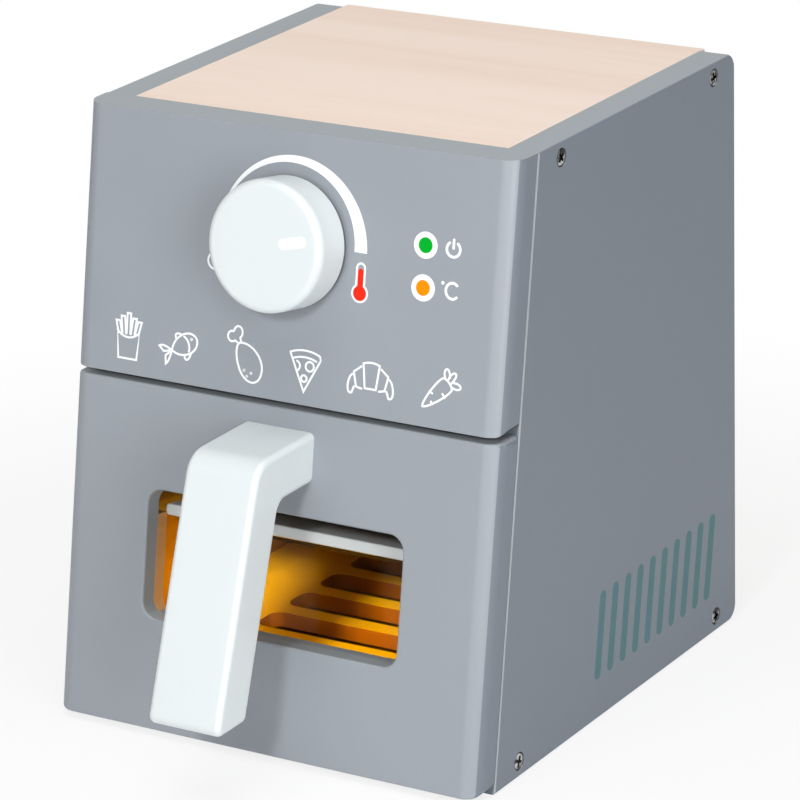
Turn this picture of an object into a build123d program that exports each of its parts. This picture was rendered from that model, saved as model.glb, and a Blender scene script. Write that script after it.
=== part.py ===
from build123d import *
from math import cos, radians, sin, tan
import os

# Wooden play air fryer. Millimetres, +Z up, +X to the right of someone facing the front, -Y towards them.
# The origin is on the ground, midway between the handle's tip and the cabinet's rear edge.
# The front leans back. Every front piece is placed in the leaning plane of the side panels' front edges.

os.makedirs("parts", exist_ok=True)

# Cabinet boards
cabinet_width = 150.0
cabinet_height = 188.0
cabinet_depth = 156.0
front_lean = 10.0
side_thickness = 10.0
side_rear_radius = 5.0
side_edge_radius = 0.8
top_thickness = 10.0
bottom_thickness = 10.0
top_rear_inset = 0.9
back_thickness = 4.0
back_inset = 3.0
groove_depth = 4.0
shelf_thickness = 8.0
shelf_height = 100.0

# Leaning front boards
front_thickness = 11.3
front_edge_radius = 6.0
front_rear_radius = 0.8
front_corner_radius = 2.5
drawer_front_low = 2.0
drawer_front_lap = 6.6
front_gap = 2.0

# Window in the drawer front
window_side_margin = 30.0
window_top_margin = 32.0
window_radius = 5.0
window_low = 34.6
window_edge_radius = 0.8
liner_thickness = 4.9
liner_border = 10.0
liner_drop = 9.0
pocket_rise = 7.0
pane_thickness = 2.5
pane_border = 7.0
pane_drop = 1.0
rail_height = 3.6
rail_depth = 18.0
rail_overhang = 0.6
rail_end_radius = 1.2
rail_edge_radius = 0.5
rail_lip_height = 1.6
rail_lip_thickness = 2.5
rail_lip_inset = 3.0

# Drawer box
box_side_thickness = 8.0
box_back_thickness = 8.0
box_bottom_thickness = 3.0
box_rear_room = 3.0
cleat_width = 7.0
cleat_height = 5.0
rack_thickness = 5.0
rack_end_room = 2.0
rack_corner_radius = 3.0
slot_pitch = 18.0
slot_width = 12.0
slot_length = 57.0
slot_corner_radius = 4.0
slot_margin = 8.0

# Handle
handle_width = 25.0
handle_thickness = 15.0
handle_drop = 5.6
handle_height = 76.3
arm_reach = 30.2
grip_lean = 20.0
outer_bend_radius = 9.0
inner_bend_radius = 5.0
handle_edge_radius = 2.5

# Knob
knob_diameter = 39.6
knob_thickness = 13.6
knob_drop = 31.9
knob_face_radius = 3.0
knob_rear_radius = 0.5
axle_diameter = 8.0
axle_seat_depth = 9.0
washer_diameter = 26.0
washer_thickness = 0.7
retainer_diameter = 22.0
retainer_thickness = 5.0

# Fasteners
screw_head_diameter = 5.8
screw_shank_diameter = 3.0
screw_head_height = 1.7
screw_length = 28.0
screw_edge_distance = 14.0
recess_width = 0.9
recess_length = 3.4
recess_depth = 1.2
small_head_diameter = 4.4
small_shank_diameter = 2.0
small_head_height = 1.2
small_recess_width = 0.7
small_recess_length = 2.6
screw_dome = 0.3
pane_screw_length = 6.5
pane_screw_offset = 4.0
pane_screw_low = 4.0
pane_screw_drop = 6.0
bottom_screw_length = 12.0
bottom_screw_front = 18.0
bottom_screw_rear = 18.0
handle_screw_length = 22.0
handle_screw_spacing = 12.0
retainer_screw_length = 14.0
panel_dowel_diameter = 6.0
panel_dowel_length = 22.0
panel_dowel_seat = 7.0
panel_dowel_inset = 14.0
box_dowel_diameter = 5.0
box_dowel_length = 20.0
box_dowel_seat = 5.0
box_dowel_inset = 22.0

# Clearances
fixed_clearance = 0.05
running_clearance = 0.05
knob_gap = 0.3
drawer_seat_gap = 0.3
drawer_side_gap = 0.6
drawer_floor_gap = 0.4
drawer_top_gap = 0.8
rack_clearance = 0.5

lean = radians(front_lean)
grip = radians(grip_lean)

# The drawer front laps over the shelf's front edge, and carries the window and the handle below its top
drawer_front_high = shelf_height + drawer_front_lap
window_width = cabinet_width - 2 * window_side_margin
window_high = drawer_front_high - window_top_margin
handle_top = drawer_front_high - handle_drop
handle_bottom = handle_top - handle_height
knob_height = cabinet_height - knob_drop


def foot_distance(level, outward=0.0):
    """Y from the front foot line to the plane that lies outward from the side panels' front edges."""
    return level * tan(lean) - outward / cos(lean)


def grip_distance(level):
    """Y from the front foot line to the front face of the handle's grip."""
    return foot_distance(handle_top, front_thickness) - arm_reach - (handle_top - level) * tan(grip)


# The grip's lower tip is the foremost point of the object
tip_level = handle_bottom + handle_edge_radius
tip_distance = grip_distance(tip_level) + handle_edge_radius / cos(grip) - handle_edge_radius
foot_y = -(cabinet_depth + tip_distance) / 2
rear_y = foot_y + cabinet_depth

front_plane = Plane(origin=(0, foot_y, 0), x_dir=(1, 0, 0), z_dir=(0, -cos(lean), sin(lean)))
plan_plane = Plane(origin=(0, foot_y, 0), x_dir=(1, 0, 0), z_dir=(0, sin(lean), cos(lean)))
front_axis = Axis(front_plane.origin, front_plane.z_dir)


def front_y(level, outward=0.0):
    """Y of the leaning plane at a level, a distance outward from the side panels' front edges."""
    return foot_y + foot_distance(level, outward)


def slope_height(level, outward=0.0):
    """Distance up the leaning plane of a point at a level, a distance outward from the front edges."""
    return (level - outward * sin(lean)) / cos(lean)


def board_profile(low, high, rear, outward=0.0):
    """Side view of a board from the leaning plane to a rear Y, between two levels."""
    return [(front_y(low, outward), low), (rear, low), (rear, high), (front_y(high, outward), high)]


def leaning_profile(low, high, inner, outer):
    """Side view of a board of the leaning front, cut level at its lower and upper ends."""
    return [
        (front_y(low, inner), low),
        (front_y(high, inner), high),
        (front_y(high, outer), high),
        (front_y(low, outer), low),
    ]


# Half widths, levels and depths that several pieces share
half_width = cabinet_width / 2
inner_half_width = half_width - side_thickness
top_low = cabinet_height - top_thickness
shelf_high = shelf_height + shelf_thickness
back_rear_y = rear_y - back_inset
back_front_y = back_rear_y - back_thickness
control_low = drawer_front_high + front_gap
box_low = bottom_thickness + drawer_floor_gap
box_floor = box_low + box_bottom_thickness
box_high = shelf_height - drawer_top_gap
box_half_width = inner_half_width - drawer_side_gap
box_inner_half_width = box_half_width - box_side_thickness
box_rear_y = back_front_y - box_rear_room
box_back_y = box_rear_y - box_back_thickness
rack_low = box_floor + cleat_height
rack_high = rack_low + rack_thickness
rack_front_y = front_y(rack_high, drawer_seat_gap) + rack_end_room
rack_rear_y = box_back_y - rack_end_room
window_height = window_high - window_low
window_middle = (window_low + window_high) / 2
liner_low = window_low - liner_border
liner_high = window_high - liner_drop
pocket_high = window_high + pocket_rise
pane_low = window_low - pane_border
pane_high = liner_high - pane_drop
pane_rear = drawer_seat_gap - pane_thickness

# Fastener places
side_screw_levels = (bottom_thickness / 2, cabinet_height - top_thickness / 2)
side_screw_spots = [(front_y(level) + screw_edge_distance, level) for level in side_screw_levels]
side_screw_spots += [(rear_y - screw_edge_distance, level) for level in side_screw_levels]
panel_dowel_x = half_width - side_thickness / 2
panel_dowel_levels = (control_low + panel_dowel_inset, cabinet_height - top_thickness - panel_dowel_inset)
panel_dowel_heights = [slope_height(level) for level in panel_dowel_levels]
panel_dowel_spots = [(side * panel_dowel_x, height) for side in (-1, 1) for height in panel_dowel_heights]
box_side_x = box_half_width - box_side_thickness / 2
box_dowel_levels = (box_floor + box_dowel_inset, box_high - box_dowel_inset)
front_dowel_heights = [slope_height(level) for level in box_dowel_levels]
front_dowel_spots = [(side * box_side_x, height) for side in (-1, 1) for height in front_dowel_heights]
back_dowel_spots = [(box_back_y + box_back_thickness / 2, level) for level in box_dowel_levels]
bottom_screw_ys = (front_y(box_low) + bottom_screw_front, box_rear_y - bottom_screw_rear)
pane_screw_x = window_width / 2 + pane_screw_offset
pane_screw_heights = (window_low + pane_screw_low, pane_high - pane_screw_drop)
handle_screw_height = slope_height(handle_top - handle_thickness / 2, front_thickness)


def sideways_plane(side, x, y, level):
    """Upright plane that faces out of the left (-1) or right (1) side."""
    return Plane(origin=(side * x, y, level), x_dir=(0, 1, 0), z_dir=(side, 0, 0))


def rearward_plane(x, height, outward):
    """Plane on the leaning front that faces into the cabinet."""
    spot = front_plane.from_local_coords((x, height, outward))
    return Plane(origin=spot, x_dir=(1, 0, 0), z_dir=-front_plane.z_dir)


side_screw_planes = {
    side: [sideways_plane(side, half_width, y, level) for y, level in side_screw_spots] for side in (-1, 1)
}
bottom_screw_planes = [
    Plane(origin=(side * box_side_x, y, box_low), x_dir=(1, 0, 0), z_dir=(0, 0, -1))
    for side in (-1, 1)
    for y in bottom_screw_ys
]
back_dowel_planes = [
    sideways_plane(side, box_inner_half_width + box_dowel_seat - fixed_clearance, y, level)
    for side in (-1, 1)
    for y, level in back_dowel_spots
]
pane_screw_planes = [
    rearward_plane(side * pane_screw_x, height, pane_rear)
    for side in (-1, 1)
    for height in pane_screw_heights
]
handle_screw_planes = [
    rearward_plane(side * handle_screw_spacing / 2, handle_screw_height, drawer_seat_gap) for side in (-1, 1)
]
retainer_screw_plane = rearward_plane(0, knob_height, -knob_gap - retainer_thickness)


def countersunk_screw(head_diameter, shank_diameter, head_height, length, recess_span, recess_slot):
    """Countersunk screw along -Z: its low dome, with a cross recess, reaches Z = 0."""
    head_radius = head_diameter / 2
    shank_radius = shank_diameter / 2
    rim = -screw_dome
    with BuildPart() as screw:
        with BuildSketch(Plane.XZ):
            with BuildLine():
                Polyline(
                    (head_radius, rim),
                    (shank_radius, rim - head_height),
                    (shank_radius, shank_radius - length),
                    (0, -length),
                    (0, 0),
                )
                ThreePointArc((0, 0), (head_radius / 2, rim / 4), (head_radius, rim))
            make_face()
        revolve(axis=Axis.Z)
        with BuildSketch(Plane.XY):
            Rectangle(recess_span, recess_slot)
            Rectangle(recess_slot, recess_span)
        extrude(amount=-recess_depth, mode=Mode.SUBTRACT)
    return screw.part


def countersunk_hole(head_diameter, shank_diameter, head_height, length):
    """Hole along -Z that a countersunk screw sits in, flush with Z = 0."""
    head_radius = head_diameter / 2 + fixed_clearance
    shank_radius = shank_diameter / 2 + fixed_clearance
    rim = -screw_dome
    with BuildPart() as hole:
        with BuildSketch(Plane.XZ):
            with BuildLine():
                Polyline(
                    (0, 0),
                    (head_radius, 0),
                    (head_radius, rim),
                    (shank_radius, rim - head_height),
                    (shank_radius, -length - fixed_clearance),
                    (0, -length - fixed_clearance),
                    close=True,
                )
            make_face()
        revolve(axis=Axis.Z)
    return hole.part


# Screws and the holes that they sit in, copied below to each place
large_head = (screw_head_diameter, screw_shank_diameter, screw_head_height)
small_head = (small_head_diameter, small_shank_diameter, small_head_height)
cabinet_screw = countersunk_screw(*large_head, screw_length, recess_length, recess_width)
cabinet_screw_hole = countersunk_hole(*large_head, screw_length)
handle_screw = countersunk_screw(*large_head, handle_screw_length, recess_length, recess_width)
handle_screw_hole = countersunk_hole(*large_head, handle_screw_length)
retainer_screw = countersunk_screw(*large_head, retainer_screw_length, recess_length, recess_width)
retainer_screw_hole = countersunk_hole(*large_head, retainer_screw_length)
pane_screw = countersunk_screw(*small_head, pane_screw_length, small_recess_length, small_recess_width)
pane_screw_hole = countersunk_hole(*small_head, pane_screw_length)
bottom_screw = countersunk_screw(*small_head, bottom_screw_length, small_recess_length, small_recess_width)
bottom_screw_hole = countersunk_hole(*small_head, bottom_screw_length)


def side_panel(side):
    """Side panel: its board, soft outer edges, grooves and holes."""
    with BuildPart() as panel:
        inner_x = side * inner_half_width
        with BuildSketch(Plane.YZ.offset(inner_x)) as outline:
            with BuildLine():
                Polyline(*board_profile(0, cabinet_height, rear_y), close=True)
            make_face()
            fillet(outline.vertices().group_by(Axis.X)[-1], side_rear_radius)
        extrude(amount=side * side_thickness)
        outer_face = faces().sort_by(Axis.X)[-1 if side > 0 else 0]
        fillet(outer_face.edges(), side_edge_radius)
        with BuildSketch(Plane.XY.offset(bottom_thickness)):
            with Locations((inner_x + side * groove_depth / 2, (back_front_y + back_rear_y) / 2)):
                Rectangle(groove_depth, back_thickness)
        extrude(amount=top_low - bottom_thickness, mode=Mode.SUBTRACT)
        with BuildSketch(Plane.YZ.offset(inner_x)):
            with BuildLine():
                Polyline(*board_profile(shelf_height, shelf_high, back_front_y), close=True)
            make_face()
        extrude(amount=side * groove_depth, mode=Mode.SUBTRACT)
        with BuildSketch(front_plane):
            with Locations(*[(x, height) for x, height in panel_dowel_spots if x * side > 0]):
                Circle(panel_dowel_diameter / 2 + fixed_clearance)
        extrude(amount=panel_dowel_seat - panel_dowel_length, mode=Mode.SUBTRACT)
        with Locations(*side_screw_planes[side]):
            add(cabinet_screw_hole, mode=Mode.SUBTRACT)
    return panel


# Side panels
side_panel_left = side_panel(-1)
side_panel_left.part.label = "side_panel_left"
export_step(side_panel_left.part, "parts/side_panel_left.step")

side_panel_right = side_panel(1)
side_panel_right.part.label = "side_panel_right"
export_step(side_panel_right.part, "parts/side_panel_right.step")


def cross_board(low, high):
    """Board between the side panels, its front edge cut to the lean, with its screw holes."""
    with BuildPart() as board:
        with BuildSketch(Plane.YZ):
            with BuildLine():
                Polyline(*board_profile(low, high, rear_y - top_rear_inset), close=True)
            make_face()
        extrude(amount=inner_half_width, both=True)
        for planes in side_screw_planes.values():
            with Locations(*planes):
                add(cabinet_screw_hole, mode=Mode.SUBTRACT)
    return board


# Top panel and bottom panel; the bottom panel is also the drawer's floor
top_panel = cross_board(top_low, cabinet_height)
top_panel.part.label = "top_panel"
export_step(top_panel.part, "parts/top_panel.step")

bottom_panel = cross_board(0, bottom_thickness)
bottom_panel.part.label = "bottom_panel"
export_step(bottom_panel.part, "parts/bottom_panel.step")

# Back panel, in the side panels' upright grooves
with BuildPart() as back_panel:
    with BuildSketch(Plane.XY.offset(bottom_thickness)):
        with Locations((0, (back_front_y + back_rear_y) / 2)):
            Rectangle(2 * (inner_half_width + groove_depth), back_thickness)
    extrude(amount=top_low - bottom_thickness)
back_panel.part.label = "back_panel"
export_step(back_panel.part, "parts/back_panel.step")

# Divider shelf, the ceiling of the drawer bay, in the side panels' level grooves
with BuildPart() as divider_shelf:
    with BuildSketch(Plane.YZ):
        with BuildLine():
            Polyline(*board_profile(shelf_height, shelf_high, back_front_y), close=True)
        make_face()
    extrude(amount=inner_half_width + groove_depth, both=True)
divider_shelf.part.label = "divider_shelf"
export_step(divider_shelf.part, "parts/divider_shelf.step")

# Screws through the side panels into the top and bottom panels
with BuildPart() as side_screws_left:
    with Locations(*side_screw_planes[-1]):
        add(cabinet_screw)
side_screws_left.part.label = "side_screws_left"
export_step(side_screws_left.part, "parts/side_screws_left.step")

with BuildPart() as side_screws_right:
    with Locations(*side_screw_planes[1]):
        add(cabinet_screw)
side_screws_right.part.label = "side_screws_right"
export_step(side_screws_right.part, "parts/side_screws_right.step")


def front_board(low, high, inner, round_levels):
    """Leaning board of full width with round upright edges, and rounded corners at some levels."""
    with BuildPart() as board:
        with BuildSketch(Plane.YZ):
            with BuildLine():
                Polyline(*leaning_profile(low, high, inner, front_thickness), close=True)
            make_face()
        extrude(amount=half_width, both=True)
        with BuildSketch(plan_plane) as plan:
            with Locations((0, -(inner + front_thickness) / 2)):
                Rectangle(cabinet_width, front_thickness - inner)
            fillet(plan.vertices().group_by(Axis.Y)[0], front_edge_radius)
            fillet(plan.vertices().group_by(Axis.Y)[-1], front_rear_radius)
        extrude(amount=2 * cabinet_height, both=True, mode=Mode.INTERSECT)
        with BuildSketch(Plane.XZ) as elevation:
            with Locations((0, (low + high) / 2)):
                Rectangle(cabinet_width, high - low)
            for level in round_levels:
                fillet(elevation.vertices().group_by(Axis.Y)[0 if level == low else -1], front_corner_radius)
        extrude(amount=2 * cabinet_depth, both=True, mode=Mode.INTERSECT)
    return board.part


# Control panel, dowelled to the side panels' front edges, with the hole that the knob's axle turns in
with BuildPart() as control_panel:
    add(front_board(control_low, cabinet_height, 0.0, [control_low]))
    with BuildSketch(front_plane):
        with Locations((0, knob_height)):
            Circle(axle_diameter / 2 + running_clearance)
    extrude(amount=front_thickness, mode=Mode.SUBTRACT)
    with BuildSketch(front_plane):
        with Locations(*panel_dowel_spots):
            Circle(panel_dowel_diameter / 2 + fixed_clearance)
    extrude(amount=panel_dowel_seat, mode=Mode.SUBTRACT)
control_panel.part.label = "control_panel"
export_step(control_panel.part, "parts/control_panel.step")

# Dowels between the control panel and the side panels
with BuildPart() as control_panel_dowels:
    with BuildSketch(front_plane.offset(panel_dowel_seat - fixed_clearance)):
        with Locations(*panel_dowel_spots):
            Circle(panel_dowel_diameter / 2)
    extrude(amount=2 * fixed_clearance - panel_dowel_length)
control_panel_dowels.part.label = "control_panel_dowels"
export_step(control_panel_dowels.part, "parts/control_panel_dowels.step")

# Drawer front with its window, and the pocket behind it that takes the liner
drawer_front_levels = [drawer_front_low, drawer_front_high]
with BuildPart() as drawer_front:
    add(front_board(drawer_front_low, drawer_front_high, drawer_seat_gap, drawer_front_levels))
    with BuildSketch(front_plane):
        with Locations((0, window_middle)):
            RectangleRounded(window_width, window_height, window_radius)
    extrude(amount=front_thickness, mode=Mode.SUBTRACT)
    window_rim = faces().sort_by(front_axis)[-1].inner_wires()[0]
    fillet(window_rim.edges(), window_edge_radius)
    with BuildSketch(front_plane.offset(drawer_seat_gap)):
        with Locations((0, (liner_low + pocket_high) / 2)):
            Rectangle(window_width + 2 * liner_border, pocket_high - liner_low)
    extrude(amount=liner_thickness, mode=Mode.SUBTRACT)
    with BuildSketch(front_plane.offset(drawer_seat_gap)):
        with Locations(*front_dowel_spots):
            Circle(box_dowel_diameter / 2 + fixed_clearance)
    extrude(amount=box_dowel_seat, mode=Mode.SUBTRACT)
    with Locations(*handle_screw_planes):
        add(handle_screw_hole, mode=Mode.SUBTRACT)
drawer_front.part.label = "drawer_front"
export_step(drawer_front.part, "parts/drawer_front.step")

# Window liner, a wooden U in the pocket around the lower three sides of the window
with BuildPart() as window_liner:
    with BuildSketch(front_plane.offset(drawer_seat_gap)):
        with Locations((0, (liner_low + liner_high) / 2)):
            Rectangle(window_width + 2 * liner_border, liner_high - liner_low)
        with Locations((0, window_middle)):
            RectangleRounded(window_width, window_height, window_radius, mode=Mode.SUBTRACT)
    extrude(amount=liner_thickness)
    with Locations(*pane_screw_planes):
        add(pane_screw_hole, mode=Mode.SUBTRACT)
window_liner.part.label = "window_liner"
export_step(window_liner.part, "parts/window_liner.step")

# Tinted window pane, screwed to the back of the liner
with BuildPart() as window_pane:
    with BuildSketch(front_plane.offset(pane_rear)):
        with Locations((0, (pane_low + pane_high) / 2)):
            Rectangle(window_width + 2 * pane_border, pane_high - pane_low)
    extrude(amount=pane_thickness)
    with Locations(*pane_screw_planes):
        add(pane_screw_hole, mode=Mode.SUBTRACT)
window_pane.part.label = "window_pane"
export_step(window_pane.part, "parts/window_pane.step")

# Screws that hold the pane
with BuildPart() as pane_screws:
    with Locations(*pane_screw_planes):
        add(pane_screw)
pane_screws.part.label = "pane_screws"
export_step(pane_screws.part, "parts/pane_screws.step")

# Rail that caps the pane's upper edge, with a lip behind the pane
with BuildPart() as pane_rail:
    with BuildSketch(front_plane.offset(drawer_seat_gap)):
        with Locations((0, pane_high + rail_height / 2)):
            RectangleRounded(window_width + 2 * rail_overhang, rail_height, rail_end_radius)
    extrude(amount=-rail_depth)
    fillet(faces().sort_by(front_axis)[-1].edges(), rail_edge_radius)
    with BuildSketch(front_plane.offset(pane_rear)):
        with Locations((0, pane_high + (rail_height / 2 - rail_lip_height) / 2)):
            Rectangle(window_width - 2 * rail_lip_inset, rail_lip_height + rail_height / 2)
    extrude(amount=-rail_lip_thickness)
pane_rail.part.label = "pane_rail"
export_step(pane_rail.part, "parts/pane_rail.step")


def drawer_side(side):
    """Side board of the drawer box, its front end cut to the lean, with its holes."""
    with BuildPart() as board:
        with BuildSketch(Plane.YZ.offset(side * box_inner_half_width)):
            with BuildLine():
                Polyline(*board_profile(box_floor, box_high, box_rear_y, drawer_seat_gap), close=True)
            make_face()
        extrude(amount=side * box_side_thickness)
        with BuildSketch(front_plane.offset(drawer_seat_gap)):
            with Locations(*[(x, height) for x, height in front_dowel_spots if x * side > 0]):
                Circle(box_dowel_diameter / 2 + fixed_clearance)
        extrude(amount=box_dowel_seat - box_dowel_length, mode=Mode.SUBTRACT)
        with BuildSketch(Plane.YZ.offset(side * box_inner_half_width)):
            with Locations(*back_dowel_spots):
                Circle(box_dowel_diameter / 2 + fixed_clearance)
        extrude(amount=side * box_dowel_seat, mode=Mode.SUBTRACT)
        with Locations(*bottom_screw_planes):
            add(bottom_screw_hole, mode=Mode.SUBTRACT)
    return board


# Drawer box
drawer_side_left = drawer_side(-1)
drawer_side_left.part.label = "drawer_side_left"
export_step(drawer_side_left.part, "parts/drawer_side_left.step")

drawer_side_right = drawer_side(1)
drawer_side_right.part.label = "drawer_side_right"
export_step(drawer_side_right.part, "parts/drawer_side_right.step")

with BuildPart() as drawer_back:
    with BuildSketch(Plane.XY.offset(box_floor)):
        with Locations((0, box_back_y + box_back_thickness / 2)):
            Rectangle(2 * box_inner_half_width, box_back_thickness)
    extrude(amount=box_high - box_floor)
    for side in (-1, 1):
        with BuildSketch(Plane.YZ.offset(side * box_inner_half_width)):
            with Locations(*back_dowel_spots):
                Circle(box_dowel_diameter / 2 + fixed_clearance)
        extrude(amount=side * (box_dowel_seat - box_dowel_length), mode=Mode.SUBTRACT)
drawer_back.part.label = "drawer_back"
export_step(drawer_back.part, "parts/drawer_back.step")

with BuildPart() as drawer_bottom:
    with BuildSketch(Plane.YZ):
        with BuildLine():
            Polyline(*board_profile(box_low, box_floor, box_rear_y, drawer_seat_gap), close=True)
        make_face()
    extrude(amount=box_half_width, both=True)
    with Locations(*bottom_screw_planes):
        add(bottom_screw_hole, mode=Mode.SUBTRACT)
drawer_bottom.part.label = "drawer_bottom"
export_step(drawer_bottom.part, "parts/drawer_bottom.step")

# Dowels and screws of the drawer box
with BuildPart() as drawer_front_dowels:
    with BuildSketch(front_plane.offset(drawer_seat_gap + box_dowel_seat - fixed_clearance)):
        with Locations(*front_dowel_spots):
            Circle(box_dowel_diameter / 2)
    extrude(amount=2 * fixed_clearance - box_dowel_length)
drawer_front_dowels.part.label = "drawer_front_dowels"
export_step(drawer_front_dowels.part, "parts/drawer_front_dowels.step")

with BuildPart() as drawer_back_dowels:
    for plane in back_dowel_planes:
        with BuildSketch(plane):
            Circle(box_dowel_diameter / 2)
        extrude(amount=2 * fixed_clearance - box_dowel_length)
drawer_back_dowels.part.label = "drawer_back_dowels"
export_step(drawer_back_dowels.part, "parts/drawer_back_dowels.step")

with BuildPart() as drawer_bottom_screws:
    with Locations(*bottom_screw_planes):
        add(bottom_screw)
drawer_bottom_screws.part.label = "drawer_bottom_screws"
export_step(drawer_bottom_screws.part, "parts/drawer_bottom_screws.step")


cleat_x = box_inner_half_width - cleat_width / 2


def rack_cleat(side):
    """Cleat along the foot of a drawer side."""
    with BuildPart() as cleat:
        with BuildSketch(Plane.XY.offset(box_floor)):
            with Locations((side * cleat_x, (rack_front_y + rack_rear_y) / 2)):
                Rectangle(cleat_width, rack_rear_y - rack_front_y)
        extrude(amount=cleat_height)
    return cleat


# Cleats that carry the rack
rack_cleat_left = rack_cleat(-1)
rack_cleat_left.part.label = "rack_cleat_left"
export_step(rack_cleat_left.part, "parts/rack_cleat_left.step")

rack_cleat_right = rack_cleat(1)
rack_cleat_right.part.label = "rack_cleat_right"
export_step(rack_cleat_right.part, "parts/rack_cleat_right.step")

# Slotted rack, loose on the cleats
rack_width = 2 * (box_inner_half_width - rack_clearance)
rack_length = rack_rear_y - rack_front_y
slot_count = int((rack_length - 2 * slot_margin - slot_width) // slot_pitch) + 1
slots_middle_y = rack_front_y + slot_margin + (slot_width + (slot_count - 1) * slot_pitch) / 2
with BuildPart() as rack:
    with BuildSketch(Plane.XY.offset(rack_low)):
        with Locations((0, (rack_front_y + rack_rear_y) / 2)):
            RectangleRounded(rack_width, rack_length, rack_corner_radius)
        with Locations((0, slots_middle_y)):
            with GridLocations(0, slot_pitch, 1, slot_count):
                RectangleRounded(slot_length, slot_width, slot_corner_radius, mode=Mode.SUBTRACT)
    extrude(amount=rack_thickness)
rack.part.label = "rack"
export_step(rack.part, "parts/rack.step")

# Handle: a level arm and a grip that leans outward, all edges soft, screwed on from inside the drawer front
grip_depth = handle_thickness / cos(grip)
arm_low = handle_top - handle_thickness
arm_root_y = front_y(handle_top)
with BuildPart() as handle:
    with BuildSketch(Plane.YZ) as side_view:
        with BuildLine():
            Polyline(
                (arm_root_y, handle_top),
                (foot_y + grip_distance(handle_top), handle_top),
                (foot_y + grip_distance(handle_bottom), handle_bottom),
                (foot_y + grip_distance(handle_bottom) + grip_depth, handle_bottom),
                (foot_y + grip_distance(arm_low) + grip_depth, arm_low),
                (arm_root_y, arm_low),
                close=True,
            )
        make_face()
        fillet(side_view.vertices().group_by(Axis.Y)[0], handle_edge_radius)
        fillet(side_view.vertices().group_by(Axis.Y)[-1].sort_by(Axis.X)[0], outer_bend_radius)
        inner_corner = side_view.vertices().filter_by_position(Axis.Y, arm_low - 0.01, arm_low + 0.01)
        fillet(inner_corner.sort_by(Axis.X)[0], inner_bend_radius)
    extrude(amount=handle_width / 2, both=True)
    side_faces = faces().filter_by(Axis.X)
    fillet(side_faces.edges(), handle_edge_radius)
    with BuildSketch(front_plane.offset(front_thickness)):
        Rectangle(4 * handle_width, 4 * cabinet_height)
    extrude(amount=-cabinet_depth, mode=Mode.SUBTRACT)
    with Locations(*handle_screw_planes):
        add(handle_screw_hole, mode=Mode.SUBTRACT)
handle.part.label = "handle"
export_step(handle.part, "parts/handle.step")

# Screws that hold the handle
with BuildPart() as handle_screws:
    with Locations(*handle_screw_planes):
        add(handle_screw)
handle_screws.part.label = "handle_screws"
export_step(handle_screws.part, "parts/handle_screws.step")

# Knob and the axle glued into it
knob_rear = front_thickness + knob_gap + washer_thickness
knob_front = knob_rear + knob_thickness
axle_front = knob_rear + axle_seat_depth
with BuildPart() as knob:
    with BuildSketch(front_plane.offset(knob_rear)):
        with Locations((0, knob_height)):
            Circle(knob_diameter / 2)
    extrude(amount=knob_thickness)
    fillet(faces().sort_by(front_axis)[-1].edges(), knob_face_radius)
    fillet(faces().sort_by(front_axis)[0].edges(), knob_rear_radius)
    with BuildSketch(front_plane.offset(knob_rear)):
        with Locations((0, knob_height)):
            Circle(axle_diameter / 2 + fixed_clearance)
    extrude(amount=axle_seat_depth, mode=Mode.SUBTRACT)
knob.part.label = "knob"
export_step(knob.part, "parts/knob.step")

with BuildPart() as knob_axle:
    with BuildSketch(front_plane.offset(-knob_gap)):
        with Locations((0, knob_height)):
            Circle(axle_diameter / 2)
    extrude(amount=axle_front + knob_gap - fixed_clearance)
    with Locations(retainer_screw_plane):
        add(retainer_screw_hole, mode=Mode.SUBTRACT)
knob_axle.part.label = "knob_axle"
export_step(knob_axle.part, "parts/knob_axle.step")

# Washer between the knob and the control panel
with BuildPart() as knob_washer:
    with BuildSketch(front_plane.offset(front_thickness + knob_gap)):
        with Locations((0, knob_height)):
            Circle(washer_diameter / 2)
            Circle(axle_diameter / 2 + fixed_clearance, mode=Mode.SUBTRACT)
    extrude(amount=washer_thickness)
knob_washer.part.label = "knob_washer"
export_step(knob_washer.part, "parts/knob_washer.step")

# Disc and screw on the axle's inner end, which keep the knob on the panel
with BuildPart() as knob_retaining_disc:
    with BuildSketch(front_plane.offset(-knob_gap)):
        with Locations((0, knob_height)):
            Circle(retainer_diameter / 2)
    extrude(amount=-retainer_thickness)
    with Locations(retainer_screw_plane):
        add(retainer_screw_hole, mode=Mode.SUBTRACT)
knob_retaining_disc.part.label = "knob_retaining_disc"
export_step(knob_retaining_disc.part, "parts/knob_retaining_disc.step")

with BuildPart() as knob_retaining_screw:
    with Locations(retainer_screw_plane):
        add(retainer_screw)
knob_retaining_screw.part.label = "knob_retaining_screw"
export_step(knob_retaining_screw.part, "parts/knob_retaining_screw.step")
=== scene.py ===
"""Wooden play air fryer: finishes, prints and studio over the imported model.

Every length is in metres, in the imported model's frame: +Z up, -Y towards whoever faces the front.
"""
from __future__ import annotations

import logging
import math
from collections.abc import Callable, Iterable, Sequence
from dataclasses import dataclass, field
from enum import Enum

import bmesh
import bpy
from mathutils import Matrix, Vector

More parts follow.
